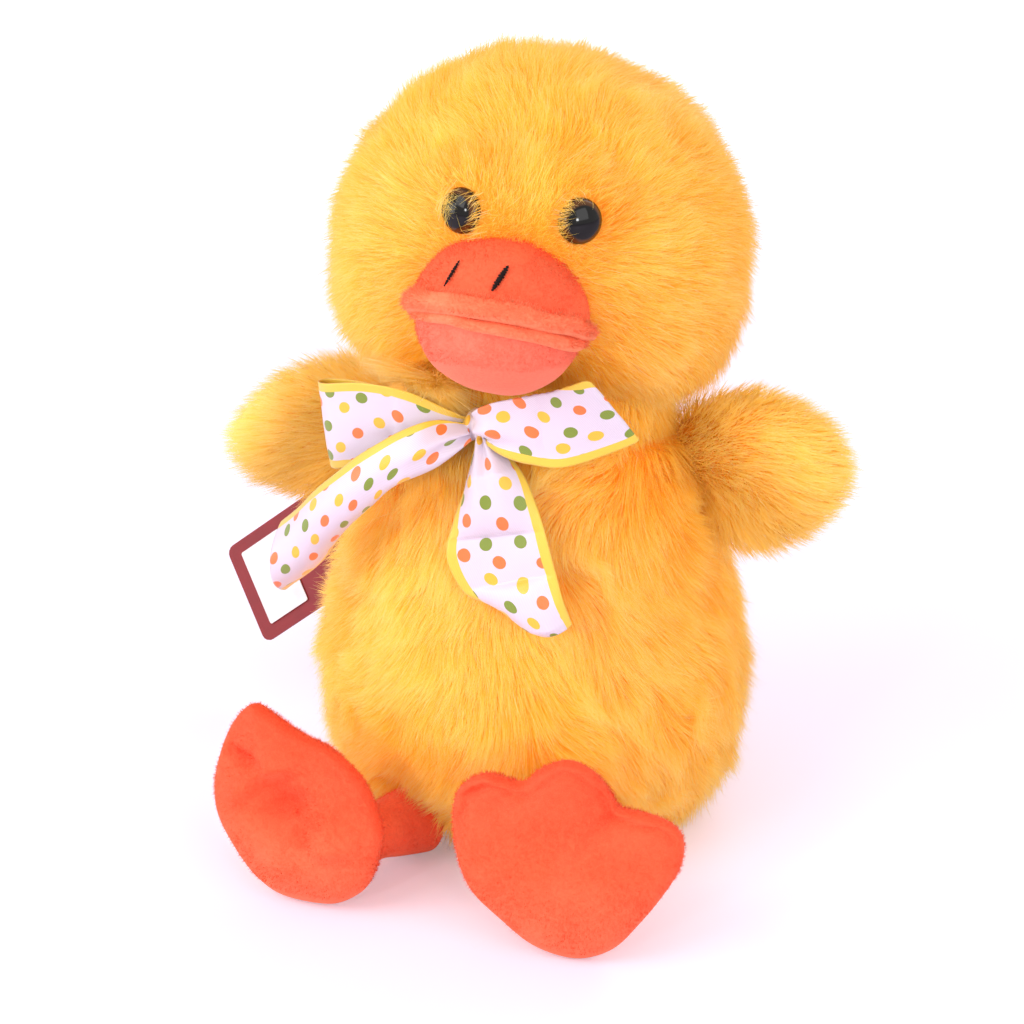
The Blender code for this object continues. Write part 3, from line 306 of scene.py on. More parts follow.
def noise(points, size, seed=0):
    q = points / size + 1000.0
    cell = np.floor(q).astype(np.int64)
    f = q - cell
    f = f * f * (3.0 - 2.0 * f)
    total = np.zeros(len(points))
    for dx in (0, 1):
        for dy in (0, 1):
            for dz in (0, 1):
                h = (cell[:, 0] + dx) * 73856093 ^ (cell[:, 1] + dy) * 19349663 ^ (cell[:, 2] + dz) * 83492791
                h = (h ^ (seed * 2654435761)) & 0x7FFFFFFF
                h = ((h ^ (h >> 13)) * 1274126177) & 0x7FFFFFFF
                h = ((h ^ (h >> 15)) * 668265263) & 0x7FFFFFFF
                value = h / float(0x7FFFFFFF) * 2.0 - 1.0
                wx = f[:, 0] if dx else 1.0 - f[:, 0]
                wy = f[:, 1] if dy else 1.0 - f[:, 1]
                wz = f[:, 2] if dz else 1.0 - f[:, 2]
                total += value * wx * wy * wz
    return total


def noise_vector(points, size, seed=0):
    return np.stack([noise(points, size, seed + k) for k in (11, 23, 37)], axis=1)


def moved(place, points):
    points = np.asarray(points, dtype=float)
    turn = np.array(place.to_3x3())
    return points @ turn.T + np.array(place.translation)


def tube_faces(rows, count, first_tip=None, last_tip=None):
    quads, tris = [], []
    for row in range(rows - 1):
        for k in range(count):
            after = (k + 1) % count
            quads.append((row * count + k, row * count + after, (row + 1) * count + after, (row + 1) * count + k))
    for k in range(count):
        after = (k + 1) % count
        if first_tip is not None:
            tris.append((after, k, first_tip))
        if last_tip is not None:
            base = (rows - 1) * count
            tris.append((base + k, base + after, last_tip))
    return np.array(quads), np.array(tris, int).reshape(-1, 3)


def triangles_of(quads, tris):
    quads = np.asarray(quads, int).reshape(-1, 4)
    tris = np.asarray(tris, int).reshape(-1, 3)
    return np.concatenate([quads[:, [0, 1, 2]], quads[:, [0, 2, 3]], tris])


def outward_faces(points, quads, tris):
    triangles = triangles_of(quads, tris)
    a, b, c = (points[triangles[:, k]] - points.mean(0) for k in range(3))
    volume = np.einsum("ij,ij->i", a, np.cross(b, c)).sum()
    if volume < 0.0:
        return quads[:, ::-1], tris[:, ::-1]
    return quads, tris


def point_normals(points, triangles):
    a, b, c = points[triangles[:, 0]], points[triangles[:, 1]], points[triangles[:, 2]]
    face = np.cross(b - a, c - a)
    normals = np.zeros_like(points)
    for k in range(3):
        np.add.at(normals, triangles[:, k], face)
    return unit(normals)


def strew(points, triangles, per_square_mm, rng):
    normals = point_normals(points, triangles)
    a, b, c = points[triangles[:, 0]], points[triangles[:, 1]], points[triangles[:, 2]]
    areas = 0.5 * np.linalg.norm(np.cross(b - a, c - a), axis=1)
    count = int(areas.sum() * 1e6 * per_square_mm)
    pick = rng.choice(len(triangles), size=count, p=areas / areas.sum())
    u, v = rng.random(count), rng.random(count)
    over = u + v > 1.0
    u[over], v[over] = 1.0 - u[over], 1.0 - v[over]
    w = 1.0 - u - v
    t = triangles[pick]
    spots = points[t[:, 0]] * w[:, None] + points[t[:, 1]] * u[:, None] + points[t[:, 2]] * v[:, None]
    ups = unit(normals[t[:, 0]] * w[:, None] + normals[t[:, 1]] * u[:, None] + normals[t[:, 2]] * v[:, None])
    return spots, ups, areas.sum()


print("helpers ready")

# %% [markdown]
# ## The cloth forms under the pile
# Body and head are turned forms, a little squashed, so rings of points describe them well.

# %% Body, head and wing forms
def body_skin(inset, segments=96):
    shares = np.linspace(0.0, 1.0, 61)
    widths = smoothed(np.interp(shares, BODY_PROFILE[:, 0], BODY_PROFILE[:, 1]), 6)
    turns = full_turn(segments)
    rows = []
    lowest = (inset + BODY_BASE_LIFT) / SHOULDER_Z
    for share, width in zip(shares, widths):
        if share < lowest:
            continue
        tilt = math.tan(math.radians(NECK_TILT * max(0.0, 2.0 * share - 1.0) ** 2))
        half_x = BODY_HALF_WIDTH * width - inset
        half_y = BODY_HALF_DEPTH * width - inset
        rows.append(ring(turns, half_x, half_y, SHOULDER_Z * share - half_y * np.sin(turns) * tilt))
    seat = -NECK_SEAT_DROP - NECK_SEAT_CLOTH
    for radius in (NECK_RIM_RADIUS - 0.5 * inset, NECK_HOLE_RADIUS):
        rows.append(moved(neck_place, ring(turns, radius, radius, seat)))
    tips = [np.array([[0.0, 0.0, rows[0][0][2]]]), moved(neck_place, [[0.0, 0.0, seat]])]
    points = np.concatenate(rows + tips)
    quads, tris = tube_faces(len(rows), segments, len(points) - 2, len(points) - 1)
    return points, quads, tris


def head_skin(inset, segments=96):
    turns = full_turn(segments)
    drop = HEAD_CENTRE.z - HEAD_RIM_RISE
    shares = np.linspace(0.0, 1.0, 25)
    widths = smoothed(np.interp(shares, HEAD_LOWER[:, 0], HEAD_LOWER[:, 1]), 2)
    rows = [ring(turns, HEAD_RIM_HOLE_RADIUS, HEAD_RIM_HOLE_RADIUS, HEAD_RIM_RISE + 0.3 * inset)]
    for share, width in zip(shares, widths):
        half_x = HEAD_HALF_WIDTH * width - inset
        half_y = HEAD_HALF_DEPTH * width - inset
        z = HEAD_RIM_RISE + drop * share + inset * (1.0 - share) * 0.6
        cheek = CHEEK_DROP * (1.0 - share) ** 2 * np.cos(turns) ** 2
        rows.append(ring(turns, half_x, half_y, z - cheek) + np.array([0.0, HEAD_CENTRE.y * share, 0.0]))
    for angle in np.radians(np.linspace(3.0, 87.0, 29)):
        half_x = (HEAD_HALF_WIDTH - inset) * math.cos(angle)
        half_y = (HEAD_HALF_DEPTH - inset) * math.cos(angle)
        z = HEAD_CENTRE.z + (HEAD_TOP_RISE - inset) * math.sin(angle)
        rows.append(ring(turns, half_x, half_y, z) + np.array([0.0, HEAD_CENTRE.y, 0.0]))
    top = [0.0, HEAD_CENTRE.y, HEAD_CENTRE.z + HEAD_TOP_RISE - inset]
    tips = [[0.0, 0.0, HEAD_RIM_RISE + 0.3 * inset], top]
    points = moved(head_place, np.concatenate(rows + [np.array(tips)]))
    quads, tris = tube_faces(len(rows), segments, len(points) - 2, len(points) - 1)
    return points, quads, tris


WING_LENGTH = 0.0540
WING_HALF_HEIGHT = 0.0300
WING_HALF_THICKNESS = 0.0165
WING_SEAM = (0.0583, 0.0080, 0.1350)
WING_SEAM_LEAN = 20.0
WING_ROOT_REACH = 0.0110
WING_OUTLINE = np.array([
    (0.020, -0.90), (0.020, -0.45), (0.000, 0.10), (-0.060, 0.66), (0.020, 0.98), (0.200, 1.05),
    (0.440, 1.00), (0.700, 0.80), (0.890, 0.46), (0.980, 0.12), (1.000, -0.22), (0.940, -0.58),
    (0.800, -0.86), (0.600, -1.06), (0.370, -1.19), (0.170, -1.19), (0.060, -1.10),
])
WINGS = {"left_wing": (1.0, 0.0, 0.0), "right_wing": (-1.0, 22.0, 14.0)}


def through_points(p0, p1, p2, p3, t):
    bend = 2 * p0 - 5 * p1 + 4 * p2 - p3
    twist = 3 * p1 - p0 - 3 * p2 + p3
    return 0.5 * (2 * p1 + (p2 - p0) * t + bend * t ** 2 + twist * t ** 3)


def closed_curve(corners, count):
    corners = np.asarray(corners, dtype=float)
    n = len(corners)
    steps = np.linspace(0.0, n, count, endpoint=False)
    k = np.floor(steps).astype(int)
    t = (steps - k)[:, None]
    p0, p1, p2, p3 = (corners[(k + d) % n] for d in (-1, 0, 1, 2))
    return through_points(p0, p1, p2, p3, t)


def open_curve(corners, count):
    corners = np.asarray(corners, dtype=float)
    n = len(corners)
    padded = np.concatenate([[2 * corners[0] - corners[1]], corners, [2 * corners[-1] - corners[-2]]])
    steps = np.linspace(0.0, n - 1 - 1e-9, count)
    k = np.floor(steps).astype(int)
    t = (steps - k)[:, None]
    p0, p1, p2, p3 = padded[k], padded[k + 1], padded[k + 2], padded[k + 3]
    return through_points(p0, p1, p2, p3, t)


def wing_place(side, forward):
    seam = (side * WING_SEAM[0], WING_SEAM[1], WING_SEAM[2])
    return Matrix.Translation(seam) @ spin(-side * WING_SEAM_LEAN, "Y") @ spin(-side * forward, "Z")


def wing_skin(side, forward, droop, inset, segments=60):
    outline = closed_curve(WING_OUTLINE, segments)
    slope = math.tan(math.radians(droop))
    middle = np.array([0.5 * WING_LENGTH, -0.2 * WING_HALF_HEIGHT])
    flat = outline * np.array([WING_LENGTH, WING_HALF_HEIGHT])
    shrink = 1.0 - inset / (0.5 * WING_LENGTH)
    rows = []
    for depth_share in np.sin(np.linspace(-1.45, 1.45, 17)):
        rounded = math.sqrt(1.0 - depth_share ** 2)
        wedge = (1.0 - abs(depth_share)) ** 0.7
        outward = np.clip(0.35 + outline[:, 0] / 0.45, 0.0, 1.0)
        size = (rounded * outward + wedge * (1.0 - outward)) * shrink
        spot = middle + (flat - middle) * size[:, None]
        spot[:, 0] -= WING_ROOT_REACH * np.clip(1.0 - outline[:, 0] / 0.35, 0.0, 1.0)
        y = np.full(segments, depth_share * (WING_HALF_THICKNESS - inset))
        rows.append(np.stack([side * spot[:, 0], y, spot[:, 1] - slope * spot[:, 0]], axis=1))
    tips = [[side * middle[0], face * (WING_HALF_THICKNESS - inset), middle[1] - slope * middle[0]]
            for face in (-1.0, 1.0)]
    points = moved(wing_place(side, forward), np.concatenate(rows + [np.array(tips)]))
    quads, tris = tube_faces(len(rows), segments, len(points) - 2, len(points) - 1)
    return points, *outward_faces(points, quads, tris)


for label, form in (("body", body_skin(PILE_DEPTH)), ("head", head_skin(PILE_DEPTH))):
    print(label, "skin:", len(form[0]), "points, height", round(float(np.ptp(form[0][:, 2])), 4))

# %% [markdown]
# ## How the pile is coloured
# Each hair is dark orange near the cloth, which is painted shade deep in the pile, golden along its length, and paler
# at the tip, which is painted rim light.
# A slow change over the surface, partly random tone and partly painted patches of shade and highlight, keeps large
# areas from looking painted.

# %% Pile material
def ramp(nodes, stops):
    node = nodes.new("ShaderNodeValToRGB")
    while len(node.color_ramp.elements) < len(stops):
        node.color_ramp.elements.new(0.5)
    for element, (position, colour) in zip(node.color_ramp.elements, stops):
        element.position = position
        element.color = (*colour, 1.0)
    return node


def attribute(nodes, name):
    node = nodes.new("ShaderNodeAttribute")
    node.attribute_name = name
    return node


def multiplied(nodes, links, first, second):
    node = nodes.new("ShaderNodeMixRGB")
    node.blend_type = "MULTIPLY"
    node.inputs["Fac"].default_value = 1.0
    links.new(first.outputs["Color"], node.inputs["Color1"])
    links.new(second.outputs["Color"], node.inputs["Color2"])
    return node


def add_bump(nodes, links, height, surface, strength, distance):
    bump = nodes.new("ShaderNodeBump")
    bump.inputs["Strength"].default_value = strength
    bump.inputs["Distance"].default_value = distance
    links.new(height.outputs["Fac"], bump.inputs["Height"])
    links.new(bump.outputs["Normal"], surface.inputs["Normal"])


def fine_grain(nodes, links, scale, detail):
    place = nodes.new("ShaderNodeTexCoord")
    grain = nodes.new("ShaderNodeTexNoise")
    grain.inputs["Scale"].default_value = scale
    grain.inputs["Detail"].default_value = detail
    links.new(place.outputs["Object"], grain.inputs["Vector"])
    return grain


def mixed_shader(nodes, links, share, first, second):
    node = nodes.new("ShaderNodeMixShader")
    if isinstance(share, float):
        node.inputs["Fac"].default_value = share
    else:
        links.new(share.outputs[0], node.inputs["Fac"])
    links.new(first.outputs[0], node.inputs[1])
    links.new(second.outputs[0], node.inputs[2])
    return node


def pile_material(name, stops, shade, rough=0.48, through=0.46, airy=0.94, stained=(1.0, 0.925, 0.66), grain=0.0):
    material, nodes, links = new_material(name)
    surface = nodes["Principled BSDF"]
    along = attribute(nodes, "along")
    tone = attribute(nodes, "tone")
    colours = ramp(nodes, stops)
    links.new(along.outputs["Fac"], colours.inputs["Fac"])
    # Low tone darkens a hair: random tone, painted shade patches, and painted shade in the feet's creases.
    painted_shade = ramp(nodes, ((0.0, shade), (0.65, (1.0, 1.0, 1.0))))
    links.new(tone.outputs["Fac"], painted_shade.inputs["Fac"])
    tint = multiplied(nodes, links, colours, painted_shade)
    # Hairs marked pale are painted pale yellow, painted glints of light on single hairs.
    glint_hairs = attribute(nodes, "pale")
    colour = nodes.new("ShaderNodeMixRGB")
    links.new(glint_hairs.outputs["Fac"], colour.inputs["Fac"])
    links.new(tint.outputs["Color"], colour.inputs["Color1"])
    colour.inputs["Color2"].default_value = (1.0, 0.88, 0.42, 1.0)
    surface.inputs["Roughness"].default_value = rough
    surface.inputs["Specular IOR Level"].default_value = 0.55
    surface.inputs["Sheen Weight"].default_value = 0.15
    surface.inputs["Sheen Roughness"].default_value = 0.4
    surface.inputs["Sheen Tint"].default_value = (1.0, 0.85, 0.5, 1.0)
    if grain > 0.0:
        fuzz = fine_grain(nodes, links, 1.0 / grain, 4.0)
        fluff = ramp(nodes, ((0.30, (0.90, 0.84, 0.82)), (0.62, (1.0, 1.0, 1.0))))
        links.new(fuzz.outputs["Fac"], fluff.inputs["Fac"])
        colour = multiplied(nodes, links, colour, fluff)
        add_bump(nodes, links, fuzz, surface, 0.45, 0.0006)
    links.new(colour.outputs["Color"], surface.inputs["Base Color"])
    soft = nodes.new("ShaderNodeBsdfTranslucent")
    links.new(colour.outputs["Color"], soft.inputs["Color"])
    both = mixed_shader(nodes, links, through, surface, soft)
    rays = nodes.new("ShaderNodeLightPath")
    share = math_node(nodes, links, "MULTIPLY", rays.outputs["Is Shadow Ray"], airy)
    clear = nodes.new("ShaderNodeBsdfTransparent")
    clear.inputs["Color"].default_value = (*stained, 1.0)
    loose = mixed_shader(nodes, links, share, both, clear)
    links.new(loose.outputs[0], nodes["Material Output"].inputs["Surface"])
    return material


# Dark roots are painted shade deep in the pile; pale tips are painted rim light.
YELLOW_STOPS = (
    (0.00, (1.00, 0.440, 0.014)),
    (0.30, (1.00, 0.570, 0.035)),
    (0.60, (1.00, 0.690, 0.090)),
    (0.85, (1.00, 0.800, 0.220)),
    (1.00, (1.00, 0.890, 0.450)),
)
LIP_STOPS = ((0.00, (1.00, 0.165, 0.058)), (0.60, (1.00, 0.250, 0.105)), (1.00, (1.00, 0.400, 0.220)))
ORANGE_STOPS = ((0.00, (0.98, 0.085, 0.020)), (0.50, (1.00, 0.125, 0.034)), (1.00, (1.00, 0.210, 0.095)))
SALMON_STOPS = ((0.00, (1.00, 0.140, 0.075)), (0.60, (1.00, 0.200, 0.110)), (1.00, (1.00, 0.300, 0.190)))
# YELLOW_SHADE is partly random tone and partly painted shade.
YELLOW_SHADE = (1.0, 0.86, 0.55)
# PLUSH_SHADE is painted shade for the feet's creases.
PLUSH_SHADE = (0.97, 0.66, 0.50)
yellow_pile = pile_material("yellow_pile", YELLOW_STOPS, YELLOW_SHADE)
CLEAR = (1.0, 0.9, 0.9)
orange_plush = pile_material("orange_plush", ORANGE_STOPS, PLUSH_SHADE, 0.75, 0.10, 0.0, CLEAR, 0.0009)
salmon_plush = pile_material("salmon_plush", SALMON_STOPS, PLUSH_SHADE, 0.75, 0.10, 0.0, CLEAR, 0.0009)
lip_plush = pile_material("lip_plush", LIP_STOPS, PLUSH_SHADE, 0.75, 0.10, 0.0, CLEAR, 0.0014)
lip_nap = pile_material("lip_nap", LIP_STOPS, (1.0, 0.90, 0.86), 0.75, 0.45, 0.92, CLEAR)
orange_nap = pile_material("orange_nap", ORANGE_STOPS, (1.0, 0.94, 0.90), 0.75, 0.45, 0.94, CLEAR)
salmon_nap = pile_material("salmon_nap", SALMON_STOPS, (1.0, 0.94, 0.92), 0.75, 0.45, 0.94, CLEAR)


def cloth_material(name, colour, rough=0.85, weave=0.0009, depth=0.5):
    material, nodes, links = new_material(name)
    surface = nodes["Principled BSDF"]
    grain = fine_grain(nodes, links, 1.0 / weave, 3.0)
    shades = ramp(nodes, ((0.25, tuple(0.82 * c for c in colour)), (0.75, colour)))
    links.new(grain.outputs["Fac"], shades.inputs["Fac"])
    links.new(shades.outputs["Color"], surface.inputs["Base Color"])
    add_bump(nodes, links, grain, surface, depth, 0.0006)
    surface.inputs["Roughness"].default_value = rough
    surface.inputs["Sheen Weight"].default_value = 0.3
    return material


# The backing's deep orange matches the hair roots and is partly painted shade at the bottom of the pile.
pile_cloth = cloth_material("pile_backing", (1.00, 0.40, 0.012))
print("pile materials ready")

# %% [markdown]
# ## Growing the pile
# Every hair is a thin ribbon that leaves the cloth at a slant, bends with the comb and ends in
# a point. Hairs near each other lean together into locks, as long pile does once it has been
# touched. A hair that would pass through a solid piece stops just before it.

# %% Hair growth
SEGMENTS = 2
PILE_FLOOR = 0.0009
QUADS_PER_PIECE = 190000


def solid_tree(objects):
    points, faces = [], []
    for thing in objects:
        base = len(points)
        points.extend(thing.matrix_world @ v.co for v in thing.data.vertices)
        faces.extend([base + k for k in polygon.vertices] for polygon in thing.data.polygons)
    return BVHTree.FromPolygons(points, faces)


def keep_out_of(curves, tree, box, margin=0.0004):
    low, high = np.array(box[0]) - 0.004, np.array(box[1]) + 0.004
    near = np.any(np.all((curves > low) & (curves < high), axis=2), axis=1)
    free = np.ones(len(curves))
    for k in np.nonzero(near)[0]:
        strand = curves[k]
        total = len(strand) - 1
        for s in range(total):
            start, end = Vector(strand[s]), Vector(strand[s + 1])
            step = end - start
            length = step.length
            if length < 1e-7:
                continue
            hit = tree.ray_cast(start, step / length, length + margin)
            if hit[0] is not None:
                free[k] = (s + max(0.0, (hit[3] - margin) / length)) / total
                break
    return free


def shorten(curves, free):
    total = curves.shape[1] - 1
    steps = np.linspace(0.0, 1.0, total + 1)[None, :] * free[:, None] * total
    base = np.clip(np.floor(steps).astype(int), 0, total - 1)
    part = (steps - base)[:, :, None]
    rows = np.arange(len(curves))[:, None]
    return curves[rows, base] * (1.0 - part) + curves[rows, base + 1] * part


def grow(spots, ups, flow, length, rise, rng, lock_size, lock_pull, curl=0.0016, droop=0.0):
    count = len(spots)
    flow = unit(flow - ups * np.einsum("ij,ij->i", flow, ups)[:, None])
    run = np.sqrt(np.maximum(length ** 2 - rise ** 2, (0.25 * length) ** 2))
    bend_field = noise_vector(spots, 0.011, 5)
    fine = rng.normal(size=(count, 3))
    s = np.linspace(0.0, 1.0, SEGMENTS + 1)
    curves = np.zeros((count, SEGMENTS + 1, 3))
    for k, t in enumerate(s):
        up = rise * (1.0 - (1.0 - t) ** 1.7)
        out = run * (0.35 * t + 0.65 * t ** 1.6)
        curves[:, k] = spots + ups * up[:, None] + flow * out[:, None]
        curves[:, k] += bend_field * (0.0022 * t ** 1.5) + fine * (curl * t ** 1.4)
        curves[:, k, 2] -= droop * t * t
    if lock_pull > 0.0:
        picked = rng.random(count) < (1.0 / (lock_size * 1e3) ** 2)
        leaders = np.nonzero(picked)[0]
        tree = KDTree(len(leaders))
        for number, row in enumerate(leaders):
            tree.insert(spots[row], number)
        tree.balance()
        wobble = noise_vector(spots, lock_size * 0.7, 9) * lock_size * 0.35
        nearest = np.array([leaders[tree.find(spots[k] + wobble[k])[1]] for k in range(count)])
        strength = lock_pull * (0.55 + 0.45 * rng.random(count))
        for k, t in enumerate(s):
            pull = strength * t ** 1.5
            curves[:, k] += (curves[nearest, k] - curves[:, k]) * pull[:, None]
    return curves


def hair_mesh(name, curves, ups, tone, width, material, rng, glint_share=0.015, root_tone=0.0):
    count = len(curves)
    levels = SEGMENTS + 1
    tangents = np.gradient(curves, axis=1)
    tangents = unit(tangents)
    turn = rng.uniform(-0.7, 0.7, count)[:, None, None]
    side = unit(np.cross(tangents, ups[:, None, :]))
    lift = np.cross(side, tangents)
    across = side * np.cos(turn) + lift * np.sin(turn)
    s = np.linspace(0.0, 1.0, levels)
    taper = 1.0 - (np.clip(s - 0.4, 0.0, 1.0) / 0.6) ** 1.4 * 0.93
    half = 0.5 * np.asarray(width).reshape(-1, 1, 1) * taper[None, :, None]
    left = curves - across * half
    right = curves + across * half
    points = np.stack([left, right], axis=2).reshape(-1, 3)
    np.maximum(points[:, 2], PILE_FLOOR, out=points[:, 2])
    base = np.arange(count)[:, None] * (2 * levels) + 2 * np.arange(SEGMENTS)[None, :]
    quads = np.stack([base, base + 1, base + 3, base + 2], axis=2).reshape(-1, 4)
    scatter = rng.normal(size=(count, 1, 3)) * 0.06
    lean = unit(ups[:, None, :] * 0.8 + lift * 0.28 + side * np.sin(turn) * 0.20 + scatter)
    normals = np.repeat(lean, 2, axis=1).reshape(-1, 3)
    # Colour runs from root to tip: the dark root is painted shade, the pale tip painted rim light; root_tone lifts the
    # root.
    along = np.tile(np.repeat(root_tone + (1.0 - root_tone) * s, 2), count)
    tones = np.repeat(tone, 2 * levels)
    # A share of the hairs is marked pale, as painted glints.
    pale = np.repeat(np.where(rng.random(count) < glint_share, 0.75, 0.0), 2 * levels)
    pieces = []
    per_piece = QUADS_PER_PIECE // SEGMENTS
    for number, start in enumerate(range(0, count, per_piece)):
        stop = min(count, start + per_piece)
        v0, v1 = start * 2 * levels, stop * 2 * levels
        own_quads = quads[start * SEGMENTS:stop * SEGMENTS] - v0
        piece = make_mesh(f"{name}_{number + 1}", points[v0:v1], own_quads, material=material)
        for label, values in (("along", along), ("tone", tones), ("pale", pale)):
            write_values(piece, label, values[v0:v1])
        piece.data.normals_split_custom_set_from_vertices(normals[v0:v1].astype(np.float32))
        pieces.append(piece)
    return pieces


print("hair tools ready")

# %% [markdown]
# ## Ribbon
# The bow is tied from satin ribbon about 36 mm wide with gold edges and printed dots. The
# cloth is gathered at the knot, so it has pleats there that open out along the loops and tails.

# %% Satin material
RIBBON_WIDTH = 0.0360
DOT_SPACING = 0.0094
GOLD_EDGE = 0.0036


def satin_material():
    material, nodes, links = new_material("satin_ribbon")
    surface = nodes["Principled BSDF"]
    flat = nodes.new("ShaderNodeUVMap")
    flat.uv_map = "flat"
    parts = nodes.new("ShaderNodeSeparateXYZ")
    links.new(flat.outputs["UV"], parts.inputs["Vector"])
    centred = math_node(nodes, links, "SUBTRACT", parts.outputs["X"], 0.5 * RIBBON_WIDTH)
    from_middle = nodes.new("ShaderNodeMath")
    from_middle.operation = "ABSOLUTE"
    links.new(centred.outputs[0], from_middle.inputs[0])
    edge = math_node(nodes, links, "GREATER_THAN", from_middle.outputs[0], 0.5 * RIBBON_WIDTH - GOLD_EDGE)
    cells = nodes.new("ShaderNodeTexVoronoi")
    cells.voronoi_dimensions = "2D"
    cells.inputs["Scale"].default_value = 1.0
    cells.inputs["Randomness"].default_value = 0.32
    slanted = nodes.new("ShaderNodeMapping")
    slanted.inputs["Rotation"].default_value = (0.0, 0.0, math.radians(32.0))
    slanted.inputs["Scale"].default_value = (1.0 / DOT_SPACING, 1.0 / DOT_SPACING, 1.0)
    links.new(flat.outputs["UV"], slanted.inputs["Vector"])
    links.new(slanted.outputs["Vector"], cells.inputs["Vector"])
    whole = nodes.new("ShaderNodeVectorMath")
    whole.operation = "FLOOR"
    links.new(cells.outputs["Position"], whole.inputs[0])
    mixed = nodes.new("ShaderNodeVectorMath")
    mixed.operation = "DOT_PRODUCT"
    links.new(whole.outputs["Vector"], mixed.inputs[0])
    mixed.inputs[1].default_value = (0.382, 0.549, 0.0)
    pick = nodes.new("ShaderNodeMath")
    pick.operation = "FRACT"
    links.new(mixed.outputs["Value"], pick.inputs[0])
    dot = math_node(nodes, links, "LESS_THAN", cells.outputs["Distance"], 0.245)
    dot_colours = ramp(nodes, (
        (0.00, (0.21, 0.28, 0.022)), (0.34, (0.90, 0.50, 0.030)), (0.67, (0.90, 0.19, 0.035)),
    ))
    dot_colours.color_ramp.interpolation = "CONSTANT"
    links.new(pick.outputs[0], dot_colours.inputs["Fac"])
    base = nodes.new("ShaderNodeRGB")
    base.outputs[0].default_value = (0.73, 0.63, 0.72, 1.0)
    with_dots = nodes.new("ShaderNodeMixRGB")
    links.new(dot.outputs[0], with_dots.inputs["Fac"])
    links.new(base.outputs[0], with_dots.inputs["Color1"])
    links.new(dot_colours.outputs["Color"], with_dots.inputs["Color2"])
    with_edge = nodes.new("ShaderNodeMixRGB")
    links.new(edge.outputs[0], with_edge.inputs["Fac"])
    links.new(with_dots.outputs["Color"], with_edge.inputs["Color1"])
    with_edge.inputs["Color2"].default_value = (0.86, 0.56, 0.050, 1.0)
    weave = nodes.new("ShaderNodeTexWave")
    weave.bands_direction = "DIAGONAL"
    weave.inputs["Scale"].default_value = 900.0
    weave.inputs["Distortion"].default_value = 0.6
    links.new(flat.outputs["UV"], weave.inputs["Vector"])
    threads = ramp(nodes, ((0.30, (0.90, 0.89, 0.92)), (0.75, (1.0, 1.0, 1.0))))
    links.new(weave.outputs["Fac"], threads.inputs["Fac"])
    woven = multiplied(nodes, links, with_edge, threads)
    links.new(woven.outputs["Color"], surface.inputs["Base Color"])
    add_bump(nodes, links, weave, surface, 0.25, 0.0002)
    surface.inputs["Roughness"].default_value = 0.34
    surface.inputs["Anisotropic"].default_value = 0.5
    surface.inputs["Sheen Weight"].default_value = 0.25
    return material


satin = satin_material()

# %% Bow strips
BOW_REACH = 0.0500
KNOT_CENTRE = np.array(neck_place @ Vector((-0.0012, -0.0505, -0.0058)))
BOW = {
    "ribbon_left_loop": (
        ((0.06, -0.03, 0.04), (0.07, -0.10, 0.16), (0.18, -0.16, 0.26), (0.35, -0.20, 0.33), (0.58, -0.24, 0.41),
         (0.80, -0.23, 0.51), (0.84, -0.17, 0.46), (0.70, -0.09, 0.36), (0.47, -0.04, 0.24), (0.23, -0.01, 0.13),
         (0.06, 0.02, 0.04)),
        ((0.08, -0.07, -0.05), (0.15, -0.15, -0.08), (0.26, -0.20, -0.11), (0.44, -0.23, -0.13), (0.69, -0.23, -0.11),
         (1.10, -0.07, 0.05), (1.05, -0.01, 0.06), (0.78, -0.01, -0.03), (0.50, -0.02, -0.08), (0.25, 0.00, -0.08),
         (0.06, 0.04, -0.06)),
        -1.0, 0.45),
    "ribbon_right_loop": (
        ((-0.06, -0.02, 0.04), (-0.21, -0.10, 0.13), (-0.47, -0.17, 0.24), (-0.80, -0.15, 0.24), (-1.09, -0.08, 0.17),
         (-1.18, 0.02, 0.14), (-1.10, 0.09, 0.14), (-0.80, 0.03, 0.17), (-0.48, 0.03, 0.12), (-0.10, 0.05, 0.04)),
        ((-0.07, -0.01, -0.07), (-0.25, -0.07, -0.15), (-0.48, -0.15, -0.23), (-0.76, -0.14, -0.34), (-1.03, -0.06, -0.46),
         (-1.12, 0.06, -0.47), (-1.04, 0.10, -0.45), (-0.77, 0.01, -0.30), (-0.47, 0.00, -0.17), (-0.10, 0.06, -0.05)),
        1.0, 0.45),
    "ribbon_left_tail": (
        ((0.00, -0.05, -0.04), (-0.04, -0.15, -0.37), (-0.10, -0.25, -0.62), (-0.13, -0.31, -0.86), (0.00, -0.33, -1.10),
         (0.20, -0.27, -1.19), (0.48, -0.24, -1.27)),
        ((0.08, -0.06, -0.04), (0.34, -0.15, -0.22), (0.50, -0.25, -0.44), (0.60, -0.32, -0.65), (0.67, -0.36, -0.84),
         (0.73, -0.38, -1.01), (0.79, -0.37, -1.18)),
        0.0, 0.55),
    "ribbon_right_tail": (
        ((-0.05, -0.10, 0.03), (-0.21, -0.20, 0.08), (-0.36, -0.30, 0.05), (-0.67, -0.34, -0.15), (-1.06, -0.24, -0.50),
         (-1.29, -0.12, -0.76), (-1.47, -0.04, -0.94)),
        ((-0.04, -0.07, -0.08), (-0.23, -0.13, -0.25), (-0.51, -0.19, -0.38), (-0.72, -0.13, -0.59), (-0.98, -0.07, -0.91),
         (-1.18, -0.02, -1.21), (-1.48, -0.01, -1.49)),
        0.0, 0.80),
}


INWARD_HINT = np.array([0.0, 0.030, 0.0])
FRONT = np.array([0.31, -0.85, 0.42])


